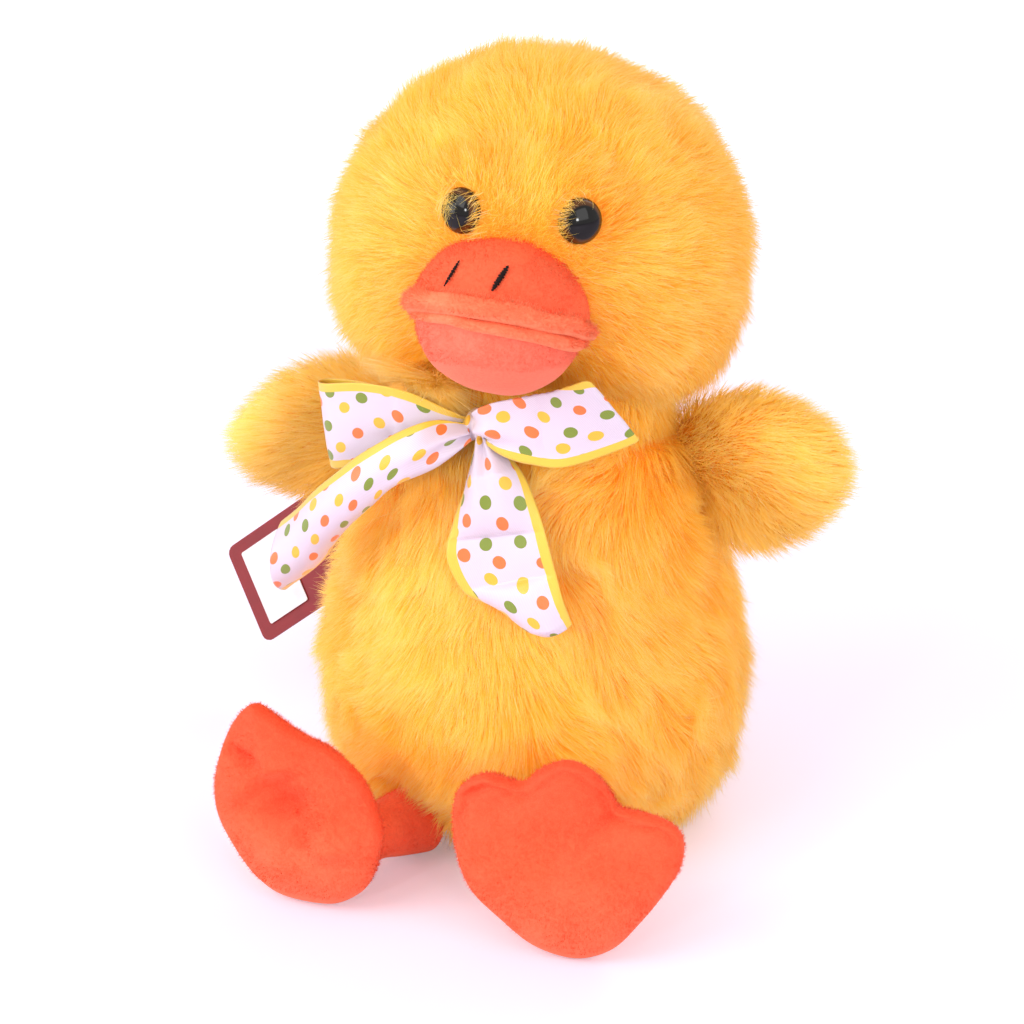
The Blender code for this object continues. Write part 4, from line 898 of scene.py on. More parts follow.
def strip_mesh(name, upper, lower, tuck, curl, both_ends, seed, stations=110, across=44):
    thickness, pleats = 0.00030, 2.5
    upper_edge = open_curve(upper, stations)
    lower_edge = open_curve(lower, stations)
    middle = 0.5 * (upper_edge + lower_edge)
    lengths = np.r_[0.0, np.cumsum(np.linalg.norm(np.diff(middle, axis=0), axis=1))]
    total = lengths[-1]
    v = np.linspace(0.0, 1.0, across + 1)
    forward = unit(np.gradient(middle, axis=0))
    width_way = unit(lower_edge - upper_edge)
    normal = unit(np.cross(forward, width_way))
    widths = np.linalg.norm(lower_edge - upper_edge, axis=1)
    near_knot = lengths if not both_ends else np.minimum(lengths, total - lengths)
    hidden = np.clip(0.85 * (RIBBON_WIDTH - widths), 0.0, 0.5 * widths) * abs(tuck)
    hidden *= np.clip(1.5 - near_knot / 0.032, 0.0, 1.0)
    flat_run = v[None, :] * (widths + hidden)[:, None]
    if tuck < 0.0:
        flat_run = (widths + hidden)[:, None] - flat_run
    turned = np.clip(flat_run - widths[:, None], 0.0, 1.0)
    seen = np.minimum(flat_run, widths[:, None]) - turned
    behind = 0.0016 * (1.0 - np.exp(-turned / 0.0008))
    if tuck < 0.0:
        grid = lower_edge[:, None, :] - width_way[:, None, :] * seen[:, :, None]
    else:
        grid = upper_edge[:, None, :] + width_way[:, None, :] * seen[:, :, None]
    inward = normal * (1.0 if np.sum(normal * INWARD_HINT) > 0.0 else -1.0)
    side_sign = np.sign(np.sum(inward * (KNOT_CENTRE + INWARD_HINT - middle), axis=1))[:, None]
    grid = grid + (inward * side_sign)[:, None, :] * behind[:, :, None]
    outside = normal * (1.0 if np.mean(normal[: stations // 3] @ FRONT) > 0.0 else -1.0)
    if both_ends:
        curl = curl * np.clip(1.6 - near_knot / 0.016, 0.0, 1.0)
    bow_length = np.clip(1.0 + curl * (RIBBON_WIDTH / (widths + hidden) - 1.0), 1.0, 1.42)
    half_angle = np.sqrt(np.clip(10.0 * (1.0 - np.sqrt(1.0 - 1.2 * (1.0 - 1.0 / bow_length))), 1e-6, None))[:, None]
    t = 2.0 * v[None, :] - 1.0
    half_chord = 0.5 * widths[:, None]
    along_chord = half_chord * np.sin(half_angle * t) / np.sin(half_angle)
    height = half_chord * (np.cos(half_angle * t) - np.cos(half_angle)) / np.sin(half_angle)
    even = half_chord * t
    grid = grid + width_way[:, None, :] * ((along_chord - even) * (0.0 if tuck else 1.0))[:, :, None]
    grid = grid + outside[:, None, :] * height[:, :, None]
    slack = np.maximum(RIBBON_WIDTH / (widths + hidden), 1.0)
    wanted = widths * np.sqrt(2.0 * (slack ** 2 - 1.0)) / (2.0 * math.pi * pleats)
    far = np.clip(near_knot / 0.022, 0.0, 1.0)
    strength = np.minimum(wanted, 0.0018 * (1.0 - far) + (0.0007 if tuck else 0.0012) * far)
    strength *= np.exp(-near_knot / 0.020)
    bent = v + 0.05 * np.sin(2.0 * math.pi * v + seed)
    wave = np.sin(2.0 * math.pi * pleats * bent + 0.9 * seed)[None, :] * np.ones((stations, 1))
    ripple = noise(grid.reshape(-1, 3), 0.013, seed).reshape(stations, across + 1) * 0.0007
    offset = wave * strength[:, None] + ripple * np.clip(near_knot / 0.012, 0.0, 1.0)[:, None]
    grid = grid + normal[:, None, :] * offset[:, :, None]
    up_row = np.gradient(grid, axis=0)
    up_col = np.gradient(grid, axis=1)
    face = unit(np.cross(up_row, up_col))
    front = (grid + face * 0.5 * thickness).reshape(-1, 3)
    back = (grid - face * 0.5 * thickness).reshape(-1, 3)
    points = np.concatenate([front, back])
    cols = across + 1
    count = stations * cols
    quads = []
    for r in range(stations - 1):
        for c in range(across):
            a = r * cols + c
            quads.append((a, a + cols, a + cols + 1, a + 1))
            quads.append((count + a, count + a + 1, count + a + cols + 1, count + a + cols))
    for r in range(stations - 1):
        a, b = r * cols, (r + 1) * cols
        quads.append((a, count + a, count + b, b))
        a, b = r * cols + across, (r + 1) * cols + across
        quads.append((b, count + b, count + a, a))
    for c in range(across):
        quads.append((c, c + 1, count + c + 1, count + c))
        a = (stations - 1) * cols + c
        quads.append((a + 1, a, count + a, count + a + 1))
    piece = make_mesh(name, points, quads, (), satin)
    flat_u = np.tile(v * RIBBON_WIDTH, stations)
    flat_v = np.repeat(lengths + 0.03 * seed, cols)
    both = np.tile(np.stack([flat_u, flat_v], axis=1), (2, 1))
    lay_flat(piece, both)
    flat_area = np.linalg.norm(np.cross(up_row, up_col), axis=2).sum()
    return piece, total, flat_area


bow_pieces = []
for number, (strip_name, (upper, lower, tuck, curl)) in enumerate(BOW.items()):
    upper = KNOT_CENTRE + BOW_REACH * np.array(upper)
    lower = KNOT_CENTRE + BOW_REACH * np.array(lower)
    piece, length, area = strip_mesh(strip_name + "_satin", upper, lower, tuck, curl, "loop" in strip_name, number + 1)
    bow_pieces.append(piece)
    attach(piece, "body")
    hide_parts(strip_name)
    print(strip_name, "length", round(length * 1e3), "mm, area over flat", round(area / (RIBBON_WIDTH * length), 2))

# %% [markdown]
# ## Knot and band
# The knot is a short length of the same ribbon, rolled small and wrapped once round the middle.

# %% Knot
def make_knot():
    stations, across = 61, 37
    half = np.array([0.0050, 0.0066, 0.0057])
    rows = []
    for k in range(stations):
        turn = 2.0 * math.pi * k / (stations - 1)
        row = []
        for c in range(across):
            v = 2.0 * c / (across - 1) - 1.0
            fold = 1.0 + 0.085 * math.sin(v * 8.5 + 0.8 * math.sin(turn)) * (1.0 - 0.4 * abs(v))
            size = math.sqrt(max(0.0, 1.0 - 0.72 * v * v)) * fold
            x = half[0] * v * (0.90 + 0.10 * math.cos(turn))
            row.append((x, -half[1] * size * math.cos(turn), half[2] * size * math.sin(turn)))
        rows.append(row)
    points = np.array(rows).reshape(-1, 3) + KNOT_CENTRE
    quads = []
    for r in range(stations - 1):
        for c in range(across - 1):
            a = r * across + c
            quads.append((a, a + 1, a + across + 1, a + across))
    piece = make_mesh("ribbon_knot_satin", points, quads, (), satin)
    share = np.linspace(-1.0, 1.0, across)
    flat_u = np.tile(RIBBON_WIDTH * 0.30 * (1.0 - np.abs(share) ** 1.2), stations)
    flat_v = np.repeat(np.linspace(0.0, 0.042, stations) + 0.004, across)
    lay_flat(piece, np.stack([flat_u, flat_v], axis=1))
    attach(piece, "body")
    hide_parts("ribbon_knot")
    return piece


bow_pieces.append(make_knot())


# %% [markdown]
# ## Body and head pile
# The head's pile is combed away from the face and hangs down at the cheeks, over the bow. The
# belly's pile is longer and falls in separate locks.


def skin_piece(name, form, body_name, covered):
    points, quads, tris = form
    piece = make_mesh(name, points, quads, tris, pile_cloth)
    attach(piece, body_name)
    if covered:
        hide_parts(*covered)
    print(name, "points:", len(points))


# The cloth of the face comes forward to the back of each eye button and is drawn flat there.
def reach_to_eyes(form):
    points, quads, tris = form
    points = points.copy()
    for side in (1.0, -1.0):
        local = moved(eye_place(side).inverted(), points)
        across = np.hypot(local[:, 0], local[:, 1])
        share = np.clip((0.019 - across) / 0.010, 0.0, 1.0)
        share = share * share * (3.0 - 2.0 * share)
        front = (local[:, 2] > -0.030)
        lift = np.where(front, np.maximum(-0.0008 - local[:, 2], 0.0) * share, 0.0)
        normal = np.array(eye_place(side).to_3x3() @ Vector((0.0, 0.0, 1.0)))
        points += normal * lift[:, None]
    return points, quads, tris


body_form = body_skin(PILE_DEPTH)
head_form = reach_to_eyes(head_skin(PILE_DEPTH, 150))
skin_piece("body_cloth", body_form, "body", ("body_cover",))
skin_piece("head_cloth", head_form, "head", ("head_cover",))
nodes_of = {thing.name: thing for thing in bpy.data.objects if thing.type == "MESH"}

# %% Solids that the pile gives way to
face_blockers = [nodes_of[n] for n in ("upper_bill", "lower_bill", "upper_lip", "lower_lip", "left_eye", "right_eye")]
foot_blockers = [nodes_of[n] for n in ("left_foot", "right_foot", "left_leg", "right_leg")]


def box_of(objects):
    corners = np.array([list(thing.matrix_world @ v.co) for thing in objects for v in thing.data.vertices])
    return corners.min(0), corners.max(0)


def grow_pile(name, form, body_name, per_mm2, shape, blockers, seed):
    rng = np.random.default_rng(seed)
    points, quads, tris = form
    spots, ups, area = strew(points, triangles_of(quads, tris), per_mm2, rng)
    values = shape(spots, ups, rng)
    keep = values["keep"]
    spots, ups = spots[keep], ups[keep]
    flow, length, rise = values["flow"][keep], values["length"][keep], values["rise"][keep]
    curves = grow(spots, ups, flow, length, rise, rng, values["lock_size"], values["lock_pull"],
                  values.get("curl", 0.0016), values.get("droop", 0.0))
    for objects in blockers:
        free = keep_out_of(curves, solid_tree(objects), box_of(objects))
        long_enough = free > 0.12
        curves = shorten(curves, free)[long_enough]
        spots, ups = spots[long_enough], ups[long_enough]
    patchy = values.get("patchy", 0.20)
    # Slow noise in the tone paints patches of shade and highlight; the scatter per hair is random tone.
    tone = np.clip(0.55 + patchy * noise(spots, 0.026, seed + 1) + 0.5 * patchy * noise(spots, 0.007, seed + 2)
                   + rng.normal(0.0, 0.10, len(spots)), 0.0, 1.0)
    width = values["width"] * rng.uniform(0.75, 1.25, len(spots))
    pieces = hair_mesh(name, curves, ups, tone, width, yellow_pile, rng, root_tone=values.get("root_tone", 0.0))
    for piece in pieces:
        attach(piece, body_name)
    print(name, "hairs:", len(spots), "on", round(area * 1e4, 1), "square cm, in", len(pieces), "pieces")


to_head = head_place.inverted()
to_neck = neck_place.inverted()
face_centre = np.array(bill_place @ Vector((0.0, -0.010, 0.0)))
eye_spots = [np.array(eye_place(side).translation) for side in (1.0, -1.0)]
head_middle = np.array(head_place @ HEAD_CENTRE)


LEG_RADIUS = 0.0112


def leg_ends(side):
    if side > 0.0:
        return np.array([0.0300, -0.0560, 0.0150]), np.array([0.0480, -0.0990, 0.0190])
    return np.array([-0.0240, -0.0590, 0.0135]), np.array([-0.0420, -0.0980, 0.0190])


def head_shape(spots, ups, rng):
    local = moved(to_head, spots)
    away = spots - face_centre
    distance = np.linalg.norm(away, axis=1)
    from_face = unit(away)
    down = np.array([0.0, 0.0, -1.0])
    height = np.clip((local[:, 2] - 0.004) / 0.11, 0.0, 1.0)
    face_share = np.clip(1.0 - (distance - 0.035) / 0.050, 0.0, 1.0)[:, None]
    flow = from_face * (0.45 + 0.6 * face_share) + down * (0.55 * (1.0 - height))[:, None]
    flow += noise_vector(spots, 0.034, 3) * 0.42 + noise_vector(spots, 0.009, 7) * 0.26
    length = 0.0108 + 0.0014 * noise(spots, 0.024, 4) + rng.normal(0.0, 0.0009, len(spots))
    rise = 0.0066 + 0.0012 * noise(spots, 0.018, 6) + rng.normal(0.0, 0.0007, len(spots))
    for spot in eye_spots:
        near = np.linalg.norm(spots - spot, axis=1)
        share = np.clip((near - 0.006) / 0.013, 0.0, 1.0)
        length *= 0.36 + 0.64 * share
        rise *= 0.30 + 0.70 * share
    near = np.clip((distance - 0.030) / 0.018, 0.0, 1.0)
    length *= 0.60 + 0.40 * near
    rise *= 0.62 + 0.38 * near
    rim = np.clip(1.0 - (local[:, 2] - 0.004) / 0.016, 0.0, 1.0)
    hanging = down + ups * 0.25 + noise_vector(spots, 0.020, 8) * 0.35
    flow = flow * (1.0 - rim[:, None]) + hanging * rim[:, None]
    length = length + 0.0060 * rim
    rise = rise * (1.0 - 0.30 * rim)
    neck_way = np.array(neck_place.to_3x3() @ Vector((0, 0, 1)))
    facing_neck = np.abs(ups @ neck_way + 1.0) < 0.12
    keep = ~(facing_neck & (np.hypot(local[:, 0], local[:, 1]) < 0.046))
    return {"flow": flow, "length": length, "rise": rise, "keep": keep, "lock_size": 0.0026, "lock_pull": 0.15,
            "width": 0.00020, "curl": 0.0019}


def body_shape(spots, ups, rng):
    height = spots[:, 2] / SHOULDER_Z
    swirl = noise_vector(spots, 0.030, 21)
    flow = np.array([0.0, 0.0, -0.8]) + swirl * 0.85 + noise_vector(spots, 0.010, 27) * 0.62
    flow[:, 0] += 0.25 * np.sign(spots[:, 0]) * np.clip(np.abs(spots[:, 0]) / 0.05, 0.0, 1.0)
    length = 0.0138 + 0.0028 * noise(spots, 0.022, 22) + rng.normal(0.0, 0.0012, len(spots))
    rise = 0.0080 + 0.0022 * noise(spots, 0.018, 24) + rng.normal(0.0, 0.0008, len(spots))
    under = np.clip(height / 0.16, 0.0, 1.0)
    rise *= 0.55 + 0.45 * under
    keep = ups[:, 2] > -0.93
    for side in (1.0, -1.0):
        hip, ankle = leg_ends(side)
        along = ankle - hip
        share = np.clip(((spots - hip) @ along) / (along @ along), 0.0, 1.0)
        away = np.linalg.norm(spots - (hip + share[:, None] * along), axis=1)
        near_leg = np.clip(1.0 - (away - LEG_RADIUS) / 0.010, 0.0, 1.0)
        length *= 1.0 - 0.45 * near_leg
        keep &= away > LEG_RADIUS + 0.0005
    neck = moved(to_neck, spots)
    keep &= ~((neck[:, 2] > -NECK_SEAT_DROP - 0.004) & (np.hypot(neck[:, 0], neck[:, 1]) < 0.0455))
    return {"flow": flow, "length": length, "rise": rise, "keep": keep, "lock_size": 0.0042, "lock_pull": 0.36,
            "width": 0.00021, "curl": 0.0020, "droop": 0.0012, "patchy": 0.42}


HAIRS_PER_MM2 = 2.60
grow_pile("head_pile", head_form, "head", HAIRS_PER_MM2, head_shape, (face_blockers, bow_pieces), 1)
grow_pile("body_pile", body_form, "body", HAIRS_PER_MM2, body_shape, (foot_blockers, bow_pieces), 2)

# %% [markdown]
# ## Neck
# Head and body are sewn together under the pile, so a ring of pile hides the neck and the band
# of ribbon round it.

# %% Neck pile
NECK_PROFILE = ((0.0405, -0.0118), (0.0412, -0.0060), (0.0412, 0.0000), (0.0410, 0.0060), (0.0402, 0.0125))


def neck_form(segments=80):
    turns = full_turn(segments)
    rows = [ring(turns, radius, radius, height) for radius, height in NECK_PROFILE]
    points = moved(neck_place, np.concatenate(rows))
    quads, tris = tube_faces(len(rows), segments)
    return points, quads, tris


def neck_shape(spots, ups, rng):
    flow = np.array([0.0, 0.0, -1.0]) + noise_vector(spots, 0.012, 31) * 0.8
    length = 0.0130 + rng.normal(0.0, 0.0014, len(spots))
    rise = 0.0085 + rng.normal(0.0, 0.0010, len(spots))
    return {"flow": flow, "length": length, "rise": rise, "keep": np.full(len(spots), True), "lock_size": 0.003,
            "lock_pull": 0.4, "width": 0.00028}


# Longer hairs near the eyes that bend in over the rim of each button, and a tuft that falls from
# the chin over the bow.
def grow_stray(name, spots, ups, flow, length, rise, body_name, seed, width, root_tone=0.0):
    rng = np.random.default_rng(seed)
    curves = grow(spots, ups, flow, length, rise, rng, 0.002, 0.35, 0.0012)
    tone = np.clip(0.55 + rng.normal(0.0, 0.2, len(curves)), 0.0, 1.0)
    widths = np.full(len(curves), width)
    # About an eighth of these hairs are painted pale, as painted glints.
    for piece in hair_mesh(name, curves, ups, tone, widths, yellow_pile, rng, glint_share=0.12, root_tone=root_tone):
        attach(piece, body_name)
    print(name, "hairs:", len(curves))


def eye_rim_hairs(side, seed, middle, count=150, reach=0.0068):
    rng = np.random.default_rng(seed)
    turn = math.radians(middle) + rng.normal(0.0, 0.62, count)
    radius = EYE_RADIUS + rng.uniform(0.0006, 0.0040, count)
    local = np.stack([radius * np.cos(turn), radius * np.sin(turn), np.full(count, -0.0006)], axis=1)
    place = eye_place(side)
    inward = np.stack([-np.cos(turn), -np.sin(turn), np.zeros(count)], axis=1)
    inward += np.array([0.55 * math.sin(math.radians(middle)), -0.55 * math.cos(math.radians(middle)), 0.0])
    inward += rng.normal(size=(count, 3)) * 0.30
    turn_only = np.array(place.to_3x3())
    normal = np.tile(turn_only @ np.array([0.0, 0.0, 1.0]), (count, 1))
    length = reach * rng.uniform(0.75, 1.25, count)
    rise = rng.uniform(0.0050, 0.0066, count)
    grow_stray(f"eye_rim_hairs_{seed}", moved(place, local), normal, inward @ turn_only.T, length, rise, "head", seed,
               0.00018)


eye_rim_hairs(1.0, 61, 160.0)
eye_rim_hairs(-1.0, 62, 10.0, 90)
eye_rim_hairs(-1.0, 63, 185.0, 210, 0.0125)

# %% Tuft under the chin
rng = np.random.default_rng(71)
chin = np.array([-0.0210, -0.0500, 0.1820])
spots, ups, area = strew(head_form[0], triangles_of(head_form[1], head_form[2]), 9.0, rng)
close = np.linalg.norm(spots - chin, axis=1) < 0.0110
spots, ups = spots[close], ups[close]
tuft_flow = np.array([-0.04, -0.62, -0.78]) + noise_vector(spots, 0.010, 72) * 0.35
tuft_length = rng.uniform(0.024, 0.032, len(spots))
tuft_rise = rng.uniform(0.0110, 0.0160, len(spots))
# Its roots are painted paler, painted light against the bill's shade it hangs in.
grow_stray("chin_tuft", spots, ups, tuft_flow, tuft_length, tuft_rise, "head", 73, 0.00024, 0.45)

grow_pile("neck_pile", neck_form(), "body", HAIRS_PER_MM2, neck_shape, (bow_pieces,), 3)

# %% [markdown]
# ## Wings
# Each wing is a flat pouch of the same pile. Its hair runs from the seam to the rounded tip.

# %% Wing pile
def make_wing(name):
    side, forward, droop = WINGS[name]
    form = wing_skin(side, forward, droop, PILE_DEPTH)
    skin_piece(name + "_cloth", form, name, (name,))
    place = wing_place(side, forward)
    tip_way = np.array(place.to_3x3() @ Vector((side, 0.0, -0.45)))

    def wing_shape(spots, ups, rng):
        flow = tip_way * 0.8 + noise_vector(spots, 0.018, 41) * 0.40
        fan = unit(spots - np.array(place @ Vector((side * 0.006, 0.0, -0.002))))
        flow += fan * 0.7
        length = 0.0118 + 0.0016 * noise(spots, 0.015, 42) + rng.normal(0.0, 0.0011, len(spots))
        rise = 0.0080 + 0.0008 * noise(spots, 0.012, 43) + rng.normal(0.0, 0.0008, len(spots))
        keep = (spots[:, 0] * side) > WING_SEAM[0] - 0.014
        rise = np.maximum(rise, 0.0055)
        # Both wings' hairs are painted paler at the root, painted light; the right wing gets more, against the shade it
        # sits in.
        return {"flow": flow, "length": length, "rise": rise, "keep": keep, "lock_size": 0.0036,
                "lock_pull": 0.22, "width": 0.00024, "curl": 0.0019, "patchy": 0.12,
                "root_tone": 0.45 if side > 0.0 else 0.62}

    grow_pile(name + "_pile", form, name, 1.25 * HAIRS_PER_MM2, wing_shape, (), 50 + int(side))


for wing_name in WINGS:
    make_wing(wing_name)

# %% [markdown]
# ## Bill
# The bill is two stuffed half pouches of short plush, orange above and salmon below. Each has a
# rolled lip along its seam. The nap is too short to comb, so very short hairs standing up off
# the cloth give its soft edge.

# %% Short nap
def add_nap(name, points, triangles, body_name, material, per_mm2, length, seed):
    rng = np.random.default_rng(seed)
    spots, ups, area = strew(points, triangles, per_mm2, rng)
    lean = noise_vector(spots, 0.010, seed) * 0.9 + rng.normal(size=spots.shape) * 0.45
    way = unit(ups * 0.55 + lean)
    size = length * rng.uniform(0.7, 1.3, len(spots))
    size *= np.clip(1.0 + 0.9 * np.minimum(ups[:, 2] + 0.2, 0.0), 0.4, 1.0)
    tips = spots + way * size[:, None]
    seen = ups[:, 2] > -0.45
    spots, ups, tips, way = spots[seen], ups[seen], tips[seen], way[seen]
    count = len(spots)
    np.maximum(tips[:, 2], 0.0004, out=tips[:, 2])
    across = unit(np.cross(way, ups)) * 0.00011
    corners = np.stack([spots - across - ups * 0.0002, spots + across - ups * 0.0002, tips], axis=1).reshape(-1, 3)
    tris = np.arange(count * 3).reshape(-1, 3)
    piece = make_mesh(name, corners, (), tris, material)
    tone = np.clip(0.5 + 0.30 * noise(spots, 0.016, seed + 1) + rng.normal(0.0, 0.18, count), 0.0, 1.0)
    # Nap tips are paler, painted rim light at the plush's edge.
    write_values(piece, "along", np.tile([0.35, 0.35, 1.0], count))
    write_values(piece, "tone", np.repeat(tone, 3))
    piece.data.normals_split_custom_set_from_vertices(np.repeat(ups, 3, axis=0).astype(np.float32))
    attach(piece, body_name)


def plush_piece(name, points, quads, tris, body_name, material, covered, seed, per_mm2, length,
                paler=None, painted_crease_shade=None):
    piece = make_mesh(name, points, quads, tris, material)
    plain = np.ones(len(points))
    write_values(piece, "along", 0.62 * plain if paler is None else paler)
    # Tone falls in the creases, painted shade.
    write_values(piece, "tone", 0.65 * plain if painted_crease_shade is None else np.clip(0.65 - 0.65 * painted_crease_shade, 0.0, 1.0))
    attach(piece, body_name)
    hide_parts(covered)
    nap = {salmon_plush.name: salmon_nap, lip_plush.name: lip_nap}.get(material.name, orange_nap)
    add_nap(name + "_nap", points, triangles_of(quads, tris), body_name, nap, per_mm2, length, seed)


NAP = 0.0011


def bill_dome(width, length, height, side, segments=72, levels=22):
    rows = []
    turns = full_turn(segments)
    for level in range(levels):
        angle = 0.5 * math.pi * level / levels
        shrink = math.cos(angle) ** 0.92
        reach = np.where(np.sin(turns) < 0.0, length, 0.013)
        x = width * np.cos(turns) * shrink
        y = reach * np.sin(turns) * shrink
        z = np.full(segments, side * (height * math.sin(angle) + 0.0002))
        rows.append(np.stack([x, y, z], axis=1))
    points = np.concatenate(rows + [np.array([[0.0, 0.0, side * 0.0002], [0.0, 0.0, side * height]])])
    quads, tris = tube_faces(levels, segments, len(points) - 2, len(points) - 1)
    if side < 0.0:
        quads, tris = quads[:, ::-1], tris[:, ::-1]
    return points, quads, tris


def lip_roll(width, length, radius, height, seed, first, last, drop, tuck, stations=90, sides=18):
    turns = np.linspace(-math.pi * 1.02, math.pi * 0.02, stations)
    centre = np.stack([width * np.cos(turns), length * np.sin(turns), np.full(stations, height)], axis=1)
    outward = unit(np.stack([np.cos(turns) / width, np.sin(turns) / length, np.zeros(stations)], axis=1))
    wave = noise(centre, 0.008, seed)
    centre[:, :2] *= 1.0 - tuck * np.clip(1.0 - 2.2 * np.linspace(0.0, 1.0, stations), 0.0, 1.0)[:, None]
    rows = []
    for k in range(stations):
        share = min(k, stations - 1 - k) / (stations - 1)
        size = radius * (0.60 + 0.40 * min(1.0, share / 0.08)) * (1.0 + 0.10 * wave[k])
        size *= first + (last - first) * k / stations
        steps = full_turn(sides)
        loop = centre[k] + outward[k] * (size * np.cos(steps))[:, None]
        loop[:, 2] += size * np.sin(steps) + 0.0006 * wave[k] - drop * max(0.0, 1.0 - 2.2 * k / stations) ** 1.5
        loop[:, 2] -= height * 0.55 * (1.0 - min(1.0, share / 0.13)) ** 1.5
        rows.append(loop)
    points = np.concatenate(rows + [rows[0].mean(0)[None], rows[-1].mean(0)[None]])
    quads, tris = tube_faces(stations, sides, len(points) - 2, len(points) - 1)
    return points, quads, tris


LOWER_BILL_SHARE = 0.93
bill_pieces = (
    ("upper_bill", BILL_HALF_WIDTH - NAP, BILL_LENGTH - NAP, UPPER_BILL_HEIGHT - NAP, 1.0,
     orange_plush, "orange_plush"),
    ("lower_bill", BILL_HALF_WIDTH * LOWER_BILL_SHARE - NAP, BILL_LENGTH * LOWER_BILL_SHARE - NAP,
     LOWER_BILL_HEIGHT - NAP, -1.0, salmon_plush, "salmon_plush"),
)
for number, (label, width, length, height, side, material, slot_name) in enumerate(bill_pieces):
    points, quads, tris = bill_dome(width, length, height, side)
    dent = 0.0005 * noise(points, 0.009, 60 + number)
    points[:, 2] += side * dent * np.clip(np.abs(points[:, 2]) / 0.006, 0.0, 1.0)
    points = moved(bill_place, points)
    quads, tris = outward_faces(points, quads, tris)
    plush_piece(label + "_plush", points, quads, tris, "head", material, label, 70 + number, 4.0, 0.0012)
    lip_name = label.replace("bill", "lip")
    roll, middle_height, first, last, drop, tuck = (
        (0.0037, 0.0018, 1.26, 0.82, 0.0016, 0.11), (0.0030, -0.0032, 0.62, 1.06, -0.0006, 0.05))[number]
    points, quads, tris = lip_roll(width + 0.0006, (length + 0.0012) * 1.02, roll - 0.3 * NAP, middle_height, 80 + number,
                                   first, last, drop, tuck)
    points = moved(bill_place, points)
    quads, tris = outward_faces(points, quads, tris)
    plush_piece(lip_name + "_plush", points, quads, tris, "head", lip_plush, lip_name, 90 + number,
                6.0, 0.0021)
print("bill ready")

# %% [markdown]
# ## Nostrils
# Each nostril is a short bar of black satin stitches, so it shows fine threads side by side.

# %% Nostrils
thread = cloth_material("black_thread", (0.010, 0.004, 0.004), 0.8, 0.0006, 0.3)
thread_surface = thread.node_tree.nodes["Principled BSDF"]
thread_surface.inputs["Sheen Weight"].default_value = 0.0
thread_surface.inputs["Specular IOR Level"].default_value = 0.2


def make_nostril(name, spread, forward, lean, half_width):
    height_share = math.sqrt(1.0 - forward ** 2 - spread ** 2)
    spot = Vector((BILL_HALF_WIDTH * spread, -BILL_LENGTH * forward, UPPER_BILL_HEIGHT * height_share - 0.0003))
    steep = math.degrees(math.atan2(UPPER_BILL_HEIGHT * forward, BILL_LENGTH * height_share))
    place = bill_place @ Matrix.Translation(spot) @ spin(steep - 90.0, "X") @ spin(lean, "Y")
    rows = []
    steps = full_turn(12)
    stations = 46
    for k in range(stations):
        share = k / (stations - 1)
        across = 2.0 * share - 1.0
        half = half_width * math.sqrt(max(0.0, 1.0 - across ** 2)) + 0.00008
        stitches = 1.0 + 0.28 * math.sin(share * 2.0 * math.pi * 11.0) + 0.15 * math.sin(share * 47.0)
        size = half * stitches
        rows.append(ring(steps, 0.85 * size, 0.7 * size, 0.0054 * across))
    points = np.concatenate(rows + [np.array([[0.0, 0.0, -0.0055], [0.0, 0.0, 0.0055]])])
    quads, tris = tube_faces(stations, 12, len(points) - 2, len(points) - 1)
    points = moved(place, points)
    quads, tris = outward_faces(points, quads, tris)
    piece = make_mesh(name + "_stitches", points, quads, tris, thread)
    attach(piece, "head")
    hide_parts(name)


make_nostril("right_nostril", -0.36, 0.84, 10.0, 0.0005)
make_nostril("left_nostril", 0.17, 0.88, 12.0, 0.0009)

# %% [markdown]
# ## Eyes
# A safety eye is one domed plastic button. Its rim is amber, its middle black, and it is
# polished, so the lamps show in it as small bright spots.

# %% Eyes
def eye_material():
    material, nodes, links = new_material("eye_plastic")
    surface = nodes["Principled BSDF"]
    from_middle = attribute(nodes, "ring")
    colours = ramp(nodes, (
        (0.00, (0.003, 0.002, 0.002)), (0.70, (0.004, 0.003, 0.002)), (0.77, (0.075, 0.026, 0.006)),
        (0.88, (0.110, 0.040, 0.008)), (0.95, (0.030, 0.010, 0.004)), (1.00, (0.006, 0.003, 0.003)),
    ))
    links.new(from_middle.outputs["Fac"], colours.inputs["Fac"])
    links.new(colours.outputs["Color"], surface.inputs["Base Color"])
    surface.inputs["Roughness"].default_value = 0.09
    surface.inputs["Specular IOR Level"].default_value = 0.30
    return material


def make_eye(name, side, material):
    segments, levels = 48, 20
    turns = full_turn(segments)
    rows, shares = [], []
    profile = [(0.0020, -0.0090), (0.0020, -0.0002), (EYE_RADIUS - 0.0003, -0.0002), (EYE_RADIUS, 0.0003),
               (EYE_RADIUS, 0.0008)]
    for angle in np.radians(np.linspace(6.0, 86.0, levels)):
        profile.append((EYE_RADIUS * math.cos(angle), 0.0008 + 0.0042 * math.sin(angle)))
    for radius, height in profile:
        rows.append(ring(turns, radius, radius, height))
        shares += [radius / EYE_RADIUS if height > 0.0 else 1.0] * segments
    points = np.concatenate(rows + [np.array([[0.0, 0.0, -0.0090], [0.0, 0.0, 0.0050]])])
    quads, tris = tube_faces(len(rows), segments, len(points) - 2, len(points) - 1)
    points = moved(eye_place(side), points)
    quads, tris = outward_faces(points, quads, tris)
    piece = make_mesh(name + "_button", points, quads, tris, material)
    write_values(piece, "ring", shares + [1.0, 0.0])
    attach(piece, "head")
    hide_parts(name)


eye_plastic = eye_material()
make_eye("left_eye", 1.0, eye_plastic)
make_eye("right_eye", -1.0, eye_plastic)
print("eyes ready")

# %% [markdown]
# ## Legs and feet
# A foot is a flat plush pouch with rounded toes. The seam round its edge draws the cloth in,
# and a few pinched creases run in from the notches between the toes.

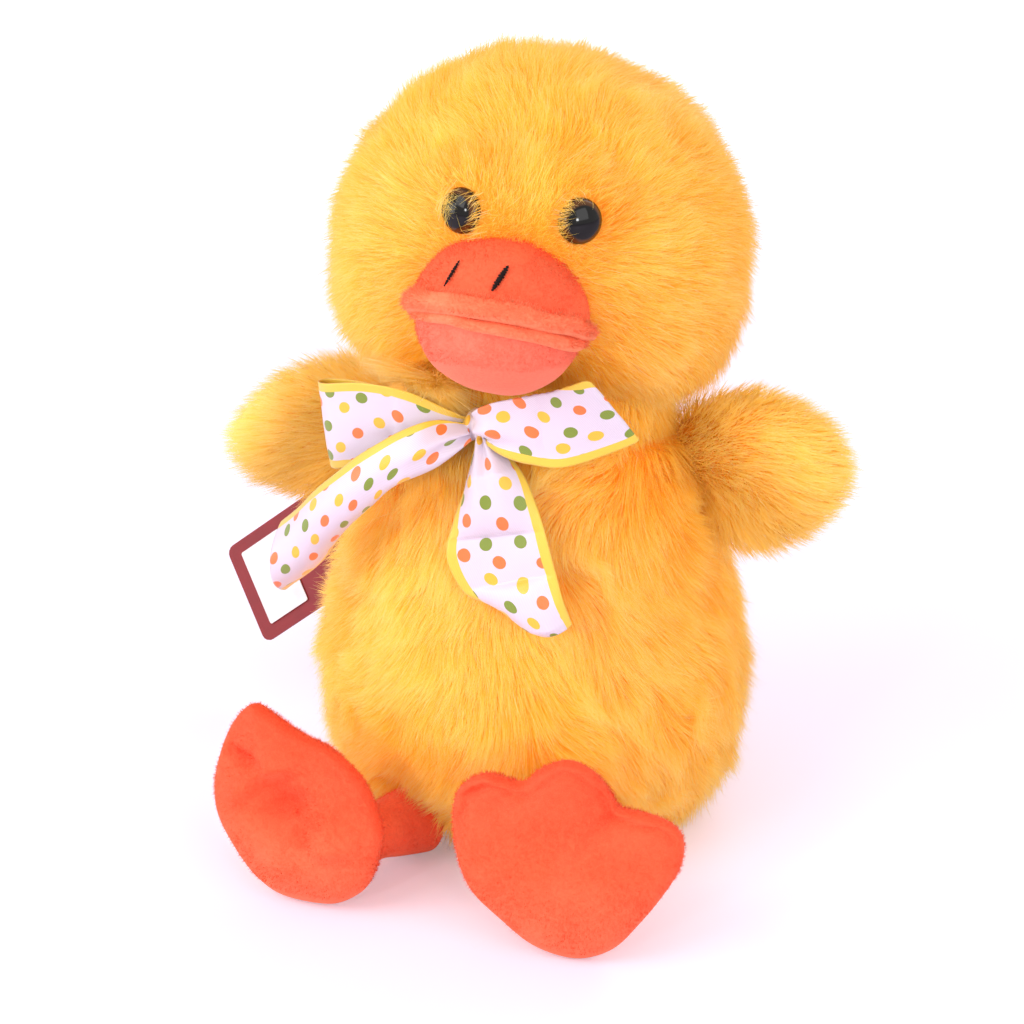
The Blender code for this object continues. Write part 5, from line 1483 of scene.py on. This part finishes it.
# %% Foot outlines
FOOT_HALF_WIDTH = 0.0390
FOOT_HEIGHT = 0.0715
FOOT_HALF_THICKNESS = 0.0105
FOOT_LEAN_BACK = 5.0
LEFT_FOOT_OUTLINE = np.array([
    (-1.03, 0.82), (-0.82, 0.89), (-0.50, 0.865), (-0.34, 0.94), (-0.10, 1.00), (0.12, 0.96),
    (0.27, 0.88), (0.38, 0.79), (0.62, 0.77), (0.85, 0.73), (0.95, 0.65), (0.93, 0.52),
    (0.78, 0.36), (0.58, 0.20), (0.38, 0.07), (0.12, 0.00), (-0.13, 0.00), (-0.40, 0.05),
    (-0.67, 0.16), (-0.90, 0.27), (-1.03, 0.40), (-1.09, 0.56), (-1.10, 0.72),
])
RIGHT_FOOT_OUTLINE = np.array([
    (-0.47, 0.98), (-0.65, 0.87), (-0.78, 0.69), (-0.83, 0.52), (-0.80, 0.38), (-0.67, 0.25),
    (-0.48, 0.12), (-0.32, 0.05), (-0.15, 0.01), (0.07, 0.00), (0.31, 0.01), (0.48, 0.04),
    (0.67, 0.12), (0.76, 0.21), (0.81, 0.31), (0.83, 0.44), (0.76, 0.56), (0.65, 0.68),
    (0.49, 0.76), (0.29, 0.83), (0.09, 0.86), (-0.11, 0.90), (-0.30, 0.95),
])
FEET = {
    "left": (1.0, LEFT_FOOT_OUTLINE, (0.0510, -0.1030), 8.0),
    "right": (-1.0, RIGHT_FOOT_OUTLINE, (-0.0508, -0.1020), -2.0),
}


def foot_place(outline, heel, turn):
    loose = spin(turn, "Z") @ spin(-FOOT_LEAN_BACK, "X")
    flat = outline * np.array([FOOT_HALF_WIDTH, FOOT_HEIGHT])
    lowest = min((loose @ Vector((x, depth, z))).z for x, z in flat for depth in (-0.006, 0.0, 0.006))
    return Matrix.Translation((heel[0], heel[1], 0.0003 - lowest)) @ loose


# A crease: where it starts and ends on the sole, how wide and how deep it is. A negative depth
# is a swelling between two creases.
CREASES = {
    "left": (
        ((-0.0395, 0.0555), (-0.0300, 0.0608), 0.0016, 0.0034),
        ((-0.0300, 0.0560), (-0.0205, 0.0585), 0.0030, 0.0016),
        ((0.0135, 0.0560), (0.0080, 0.0490), 0.0026, 0.0016),
        ((-0.0020, 0.0440), (0.0010, 0.0540), 0.0016, 0.0005),
        ((0.0040, 0.0420), (0.0060, 0.0500), 0.0016, 0.0005),
    ),
    "right": (
        ((-0.0040, 0.0420), (0.0020, 0.0330), 0.0090, 0.0072),
        ((0.0040, 0.0275), (0.0075, 0.0235), 0.0026, 0.0032),
        ((-0.0225, 0.0535), (-0.0120, 0.0515), 0.0024, 0.0056),
        ((-0.0205, 0.0380), (-0.0130, 0.0480), 0.0036, -0.0034),
        ((-0.0130, 0.0490), (0.0010, 0.0545), 0.0034, -0.0038),
        ((0.0080, 0.0240), (0.0220, 0.0270), 0.0036, -0.0028),
        ((-0.0100, 0.0180), (0.0120, 0.0150), 0.0100, -0.0018),
    ),
}
TOE_SEAM = {"left": 0.0021, "right": 0.0007}


def crease_depth(flat, creases):
    total = np.zeros(len(flat))
    for start, end, half_width, depth in creases:
        start, end = np.array(start), np.array(end)
        along = end - start
        share = np.clip(((flat - start) @ along) / (along @ along), 0.0, 1.0)
        away = np.linalg.norm(flat - (start + share[:, None] * along), axis=1)
        total += depth * np.exp(-(away / half_width) ** 2) * (0.55 + 0.45 * np.sin(math.pi * share))
    return total


def make_foot(name):
    side, outline, heel, turn = FEET[name]
    segments = 120
    edge = closed_curve(outline, segments) * np.array([FOOT_HALF_WIDTH - NAP, FOOT_HEIGHT])
    middle = np.array([edge[:, 0].mean(), 0.5 * FOOT_HEIGHT])
    shares = np.sin(np.linspace(0.02, 0.5 * math.pi, 22))
    thickness = FOOT_HALF_THICKNESS - NAP
    rows, crease_shade_rows = [], []
    layers = [(share, -1.0) for share in shares] + [(share, 1.0) for share in shares[-2::-1]]
    for share, face in layers:
        flat = middle + (edge - middle) * share
        puff = thickness * (1.0 - share ** 2.7) ** (1.0 / 2.3)
        depth = np.full(segments, puff)
        depth += 0.0011 * noise(np.c_[flat, np.full(segments, face)], 0.014, 120) * (1.0 - share ** 4)
        hollow = np.zeros(segments)
        if face < 0.0:
            # The crease depth shapes the sole and also paints shade in the creases.
            hollow = crease_depth(flat, CREASES[name]) * (1.0 - share ** 14)
            depth -= hollow
            inset = np.linalg.norm(edge - middle, axis=1) * (1.0 - share)
            on_toes = np.clip((edge[:, 1] / FOOT_HEIGHT - 0.58) / 0.10, 0.0, 1.0)
            wander = 0.0034 + 0.0013 * noise(np.c_[edge, np.zeros(segments)], 0.006, 121)
            uneven = 0.75 + 0.45 * noise(np.c_[edge, np.full(segments, 3.0)], 0.009, 122)
            groove = TOE_SEAM[name] * on_toes * uneven * np.exp(-((inset - wander) / 0.0011) ** 2)
            depth -= groove
            # The toe seam groove also gets painted shade.
            hollow = hollow + 0.6 * groove
        crease_shade_rows.append(hollow / 0.0055)
        rows.append(np.stack([flat[:, 0], face * np.maximum(depth, 0.0), flat[:, 1]], axis=1))
    tips = [[middle[0], -thickness, middle[1]], [middle[0], thickness, middle[1]]]
    points = moved(foot_place(outline, heel, turn), np.concatenate(rows + [np.array(tips)]))
    np.maximum(points[:, 2], 0.0010, out=points[:, 2])
    quads, tris = tube_faces(len(rows), segments, len(points) - 2, len(points) - 1)
    quads, tris = outward_faces(points, quads, tris)
    # The feet are painted paler towards the floor, painted bounce light off the floor.
    low = np.clip(1.0 - points[:, 2] / FOOT_HEIGHT, 0.0, 1.0)
    plush_piece(name + "_foot_plush", points, quads, tris, name + "_leg", orange_plush, name + "_foot",
                130 + int(side), 3.2, 0.0013, 0.10 + 0.80 * low, np.concatenate(crease_shade_rows + [np.zeros(2)]))
    make_leg(name, side)


def make_leg(name, side):
    hip, ankle = leg_ends(side)
    stations, sides = 26, 40
    along = unit((ankle - hip)[None])[0]
    reach = float(np.linalg.norm(ankle - hip))
    right = unit(np.cross(along, [0.0, 0.0, 1.0])[None])[0]
    up = np.cross(right, along)
    steps = full_turn(sides)
    rows = []
    for k in range(stations):
        share = k / (stations - 1)
        size = LEG_RADIUS - NAP + 0.0022 * (1.0 - share) ** 2 + 0.0010 * math.sin(share * 9.0)
        if share < 0.12:
            size *= math.sin(0.5 * math.pi * max(share, 0.02) / 0.12)
        centre = hip + along * (reach * (share * 1.18 - 0.18))
        loop = centre + np.outer(np.cos(steps) * size, right) + np.outer(np.sin(steps) * size, up)
        loop += noise_vector(loop, 0.010, 140) * 0.0006
        rows.append(loop)
    points = np.concatenate(rows + [hip[None] - along * reach * 0.18, ankle[None]])
    np.maximum(points[:, 2], 0.0012, out=points[:, 2])
    quads, tris = tube_faces(stations, sides, len(points) - 2, len(points) - 1)
    quads, tris = outward_faces(points, quads, tris)
    plush_piece(name + "_leg_plush", points, quads, tris, name + "_leg", orange_plush, name + "_leg",
                150 + int(side), 2.0, 0.0014)


for foot_name in FEET:
    make_foot(foot_name)
print("feet ready")

# %% [markdown]
# ## Inside the toy
# Fluffed polyester fibre fills the body, head and neck. A small cloth pouch of pellets sits low
# in the body, so that the toy stays seated, and a woven panel closes the body underneath.

# %% Filling
FILLING_DEPTH = PILE_DEPTH + 0.0020
fibre = cloth_material("white_filling", (0.90, 0.90, 0.88), 0.95, 0.0022, 0.7)
pouch_cloth = cloth_material("pouch_cloth", (0.78, 0.74, 0.66), 0.9, 0.0008, 0.4)
seat_cloth = cloth_material("seat_cloth", (0.86, 0.50, 0.060), 0.9, 0.0008, 0.4)


def soft_piece(name, points, quads, tris, body_name, material, covered):
    quads, tris = outward_faces(points, quads, tris)
    piece = make_mesh(name, points, quads, tris, material)
    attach(piece, body_name)
    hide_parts(covered)


def lumpy(points, size, depth, seed):
    middle = points.mean(0)
    return points - unit(points - middle) * (depth * (0.5 + 0.5 * noise(points, size, seed)))[:, None]


for label, (points, quads, tris) in (("body", body_skin(FILLING_DEPTH)), ("head", head_skin(FILLING_DEPTH))):
    soft_piece(label + "_fibre", lumpy(points, 0.014, 0.0022, 160), quads, tris, label, fibre,
               label + "_stuffing")


def round_cushion(half_x, half_y, low, high, square, segments=72, levels=24):
    turns = full_turn(segments)
    rows = []
    for angle in np.linspace(-0.5 * math.pi, 0.5 * math.pi, levels + 2)[1:-1]:
        reach = math.cos(angle) ** square
        height = 0.5 * (low + high) + 0.5 * (high - low) * math.sin(angle)
        rows.append(ring(turns, half_x * reach, half_y * reach, height))
    points = np.concatenate(rows + [np.array([[0.0, 0.0, low], [0.0, 0.0, high]])])
    quads, tris = tube_faces(levels, segments, len(points) - 2, len(points) - 1)
    return points, quads, tris


points, quads, tris = round_cushion(0.0385, 0.0385, -0.0190, 0.0385, 0.85)
soft_piece("neck_fibre", lumpy(moved(neck_place, points), 0.012, 0.0012, 161), quads, tris, "neck", fibre,
           "neck_stuffing")
points, quads, tris = round_cushion(0.0408, 0.0408, -0.0150, 0.0300, 0.85)
skin_piece("neck_cloth", (moved(neck_place, points), quads, tris), "neck", ())

# %% Pellet pouch and seat panel
PANEL_HALF_WIDTH = 0.0512
PANEL_HALF_DEPTH = 0.0463
points, quads, tris = round_cushion(0.0455, 0.0448, 0.0102, 0.0375, 0.55)
points[:, 2] += 0.0006 * noise(points, 0.006, 162) * (np.hypot(points[:, 0], points[:, 1]) < 0.042)
soft_piece("pellet_pouch_cloth", points, quads, tris, "body", pouch_cloth, "pellet_pouch")

points, quads, tris = round_cushion(PANEL_HALF_WIDTH, PANEL_HALF_DEPTH, 0.0003, 0.0038, 0.25)
reach = np.hypot(points[:, 0] / PANEL_HALF_WIDTH, points[:, 1] / PANEL_HALF_DEPTH)
around = np.arctan2(points[:, 1], points[:, 0])
points[:, 2] += 0.0004 * np.cos(around * 34.0) * np.clip((reach - 0.72) / 0.2, 0.0, 1.0) * (points[:, 2] > 0.002)
soft_piece("seat_panel_cloth", points, quads, tris, "body", seat_cloth, "seat_panel")
print("filling, pouch and seat panel ready")

# %% [markdown]
# ## Ribbon round the neck
# Under the pile the ribbon goes once round the neck, folded lengthwise in three so that its
# cut width lies as a narrow band.

# %% Neck band
BAND_RADIUS = 0.0412
BAND_DROP = 0.0072
FOLD_HEIGHT = RIBBON_WIDTH / 3.0


def make_band(segments=160):
    path = []
    for layer in range(3):
        climb = np.linspace(0.0, 1.0, 9)[:-1] if layer < 2 else np.linspace(0.0, 1.0, 9)
        for share in climb:
            height = (share if layer % 2 == 0 else 1.0 - share) - 0.5
            path.append((BAND_RADIUS + 0.0008 * (layer + share * 0.6), FOLD_HEIGHT * height))
    path = np.array(path)
    turns = full_turn(segments)
    wave = 0.0005 * np.sin(turns * 9.0) + 0.0004 * np.sin(turns * 4.0 + 1.0)
    rows = []
    for radius, height in path:
        rows.append(ring(turns, radius, radius, height - BAND_DROP + wave))
    points = moved(neck_place, np.concatenate(rows))
    quads, tris = tube_faces(len(rows), segments)
    piece = make_mesh("ribbon_band_satin", points, quads, tris, satin)
    steps = np.r_[0.0, np.cumsum(np.linalg.norm(np.diff(path, axis=0), axis=1))]
    flat = np.stack([np.repeat(steps, segments), np.tile(turns * BAND_RADIUS, len(path))], axis=1)
    lay_flat(piece, flat)
    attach(piece, "body")
    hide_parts("ribbon_band")


make_band()


# %% Washers and tag loop
def clear_plastic(name, colour, rough, clear):
    material, nodes, links = new_material(name)
    surface = nodes["Principled BSDF"]
    grain = fine_grain(nodes, links, 900.0, 2.0)
    spread = nodes.new("ShaderNodeMapRange")
    spread.inputs["To Min"].default_value = 0.8 * rough
    spread.inputs["To Max"].default_value = 1.2 * rough
    links.new(grain.outputs["Fac"], spread.inputs["Value"])
    links.new(spread.outputs["Result"], surface.inputs["Roughness"])
    surface.inputs["Base Color"].default_value = (*colour, 1.0)
    surface.inputs["Transmission Weight"].default_value = clear
    return material


def give_material(node_names, material):
    for node_name in node_names:
        for place in nodes_of[node_name].material_slots:
            place.material = material


washer_plastic = clear_plastic("washer_plastic", (0.86, 0.86, 0.84), 0.45, 0.0)
nylon = clear_plastic("clear_nylon", (0.93, 0.95, 0.96), 0.22, 0.55)
give_material(("left_eye_washer", "right_eye_washer"), washer_plastic)
give_material(("tag_loop",), nylon)
print("washers and tag loop ready")

# %% [markdown]
# ## Tag
# The tag is coated card, red, with a bare pale panel. It hangs on a thin nylon loop.

# %% Tag
def card_material(name, colour, rough, coat):
    material, nodes, links = new_material(name)
    surface = nodes["Principled BSDF"]
    grain = fine_grain(nodes, links, 140.0, 4.0)
    shades = ramp(nodes, ((0.30, tuple(0.86 * c for c in colour)), (0.70, colour)))
    links.new(grain.outputs["Fac"], shades.inputs["Fac"])
    links.new(shades.outputs["Color"], surface.inputs["Base Color"])
    surface.inputs["Roughness"].default_value = rough
    surface.inputs["Specular IOR Level"].default_value = 0.30
    surface.inputs["Coat Weight"].default_value = coat
    surface.inputs["Coat Roughness"].default_value = 0.12
    return material


red_card = card_material("red_card", (0.24, 0.004, 0.010), 0.42, 0.0)
pale_label = card_material("pale_label", (0.84, 0.79, 0.82), 0.40, 0.10)
give_material(("tag_card",), red_card)
give_material(("tag_label",), pale_label)
print("tag ready")
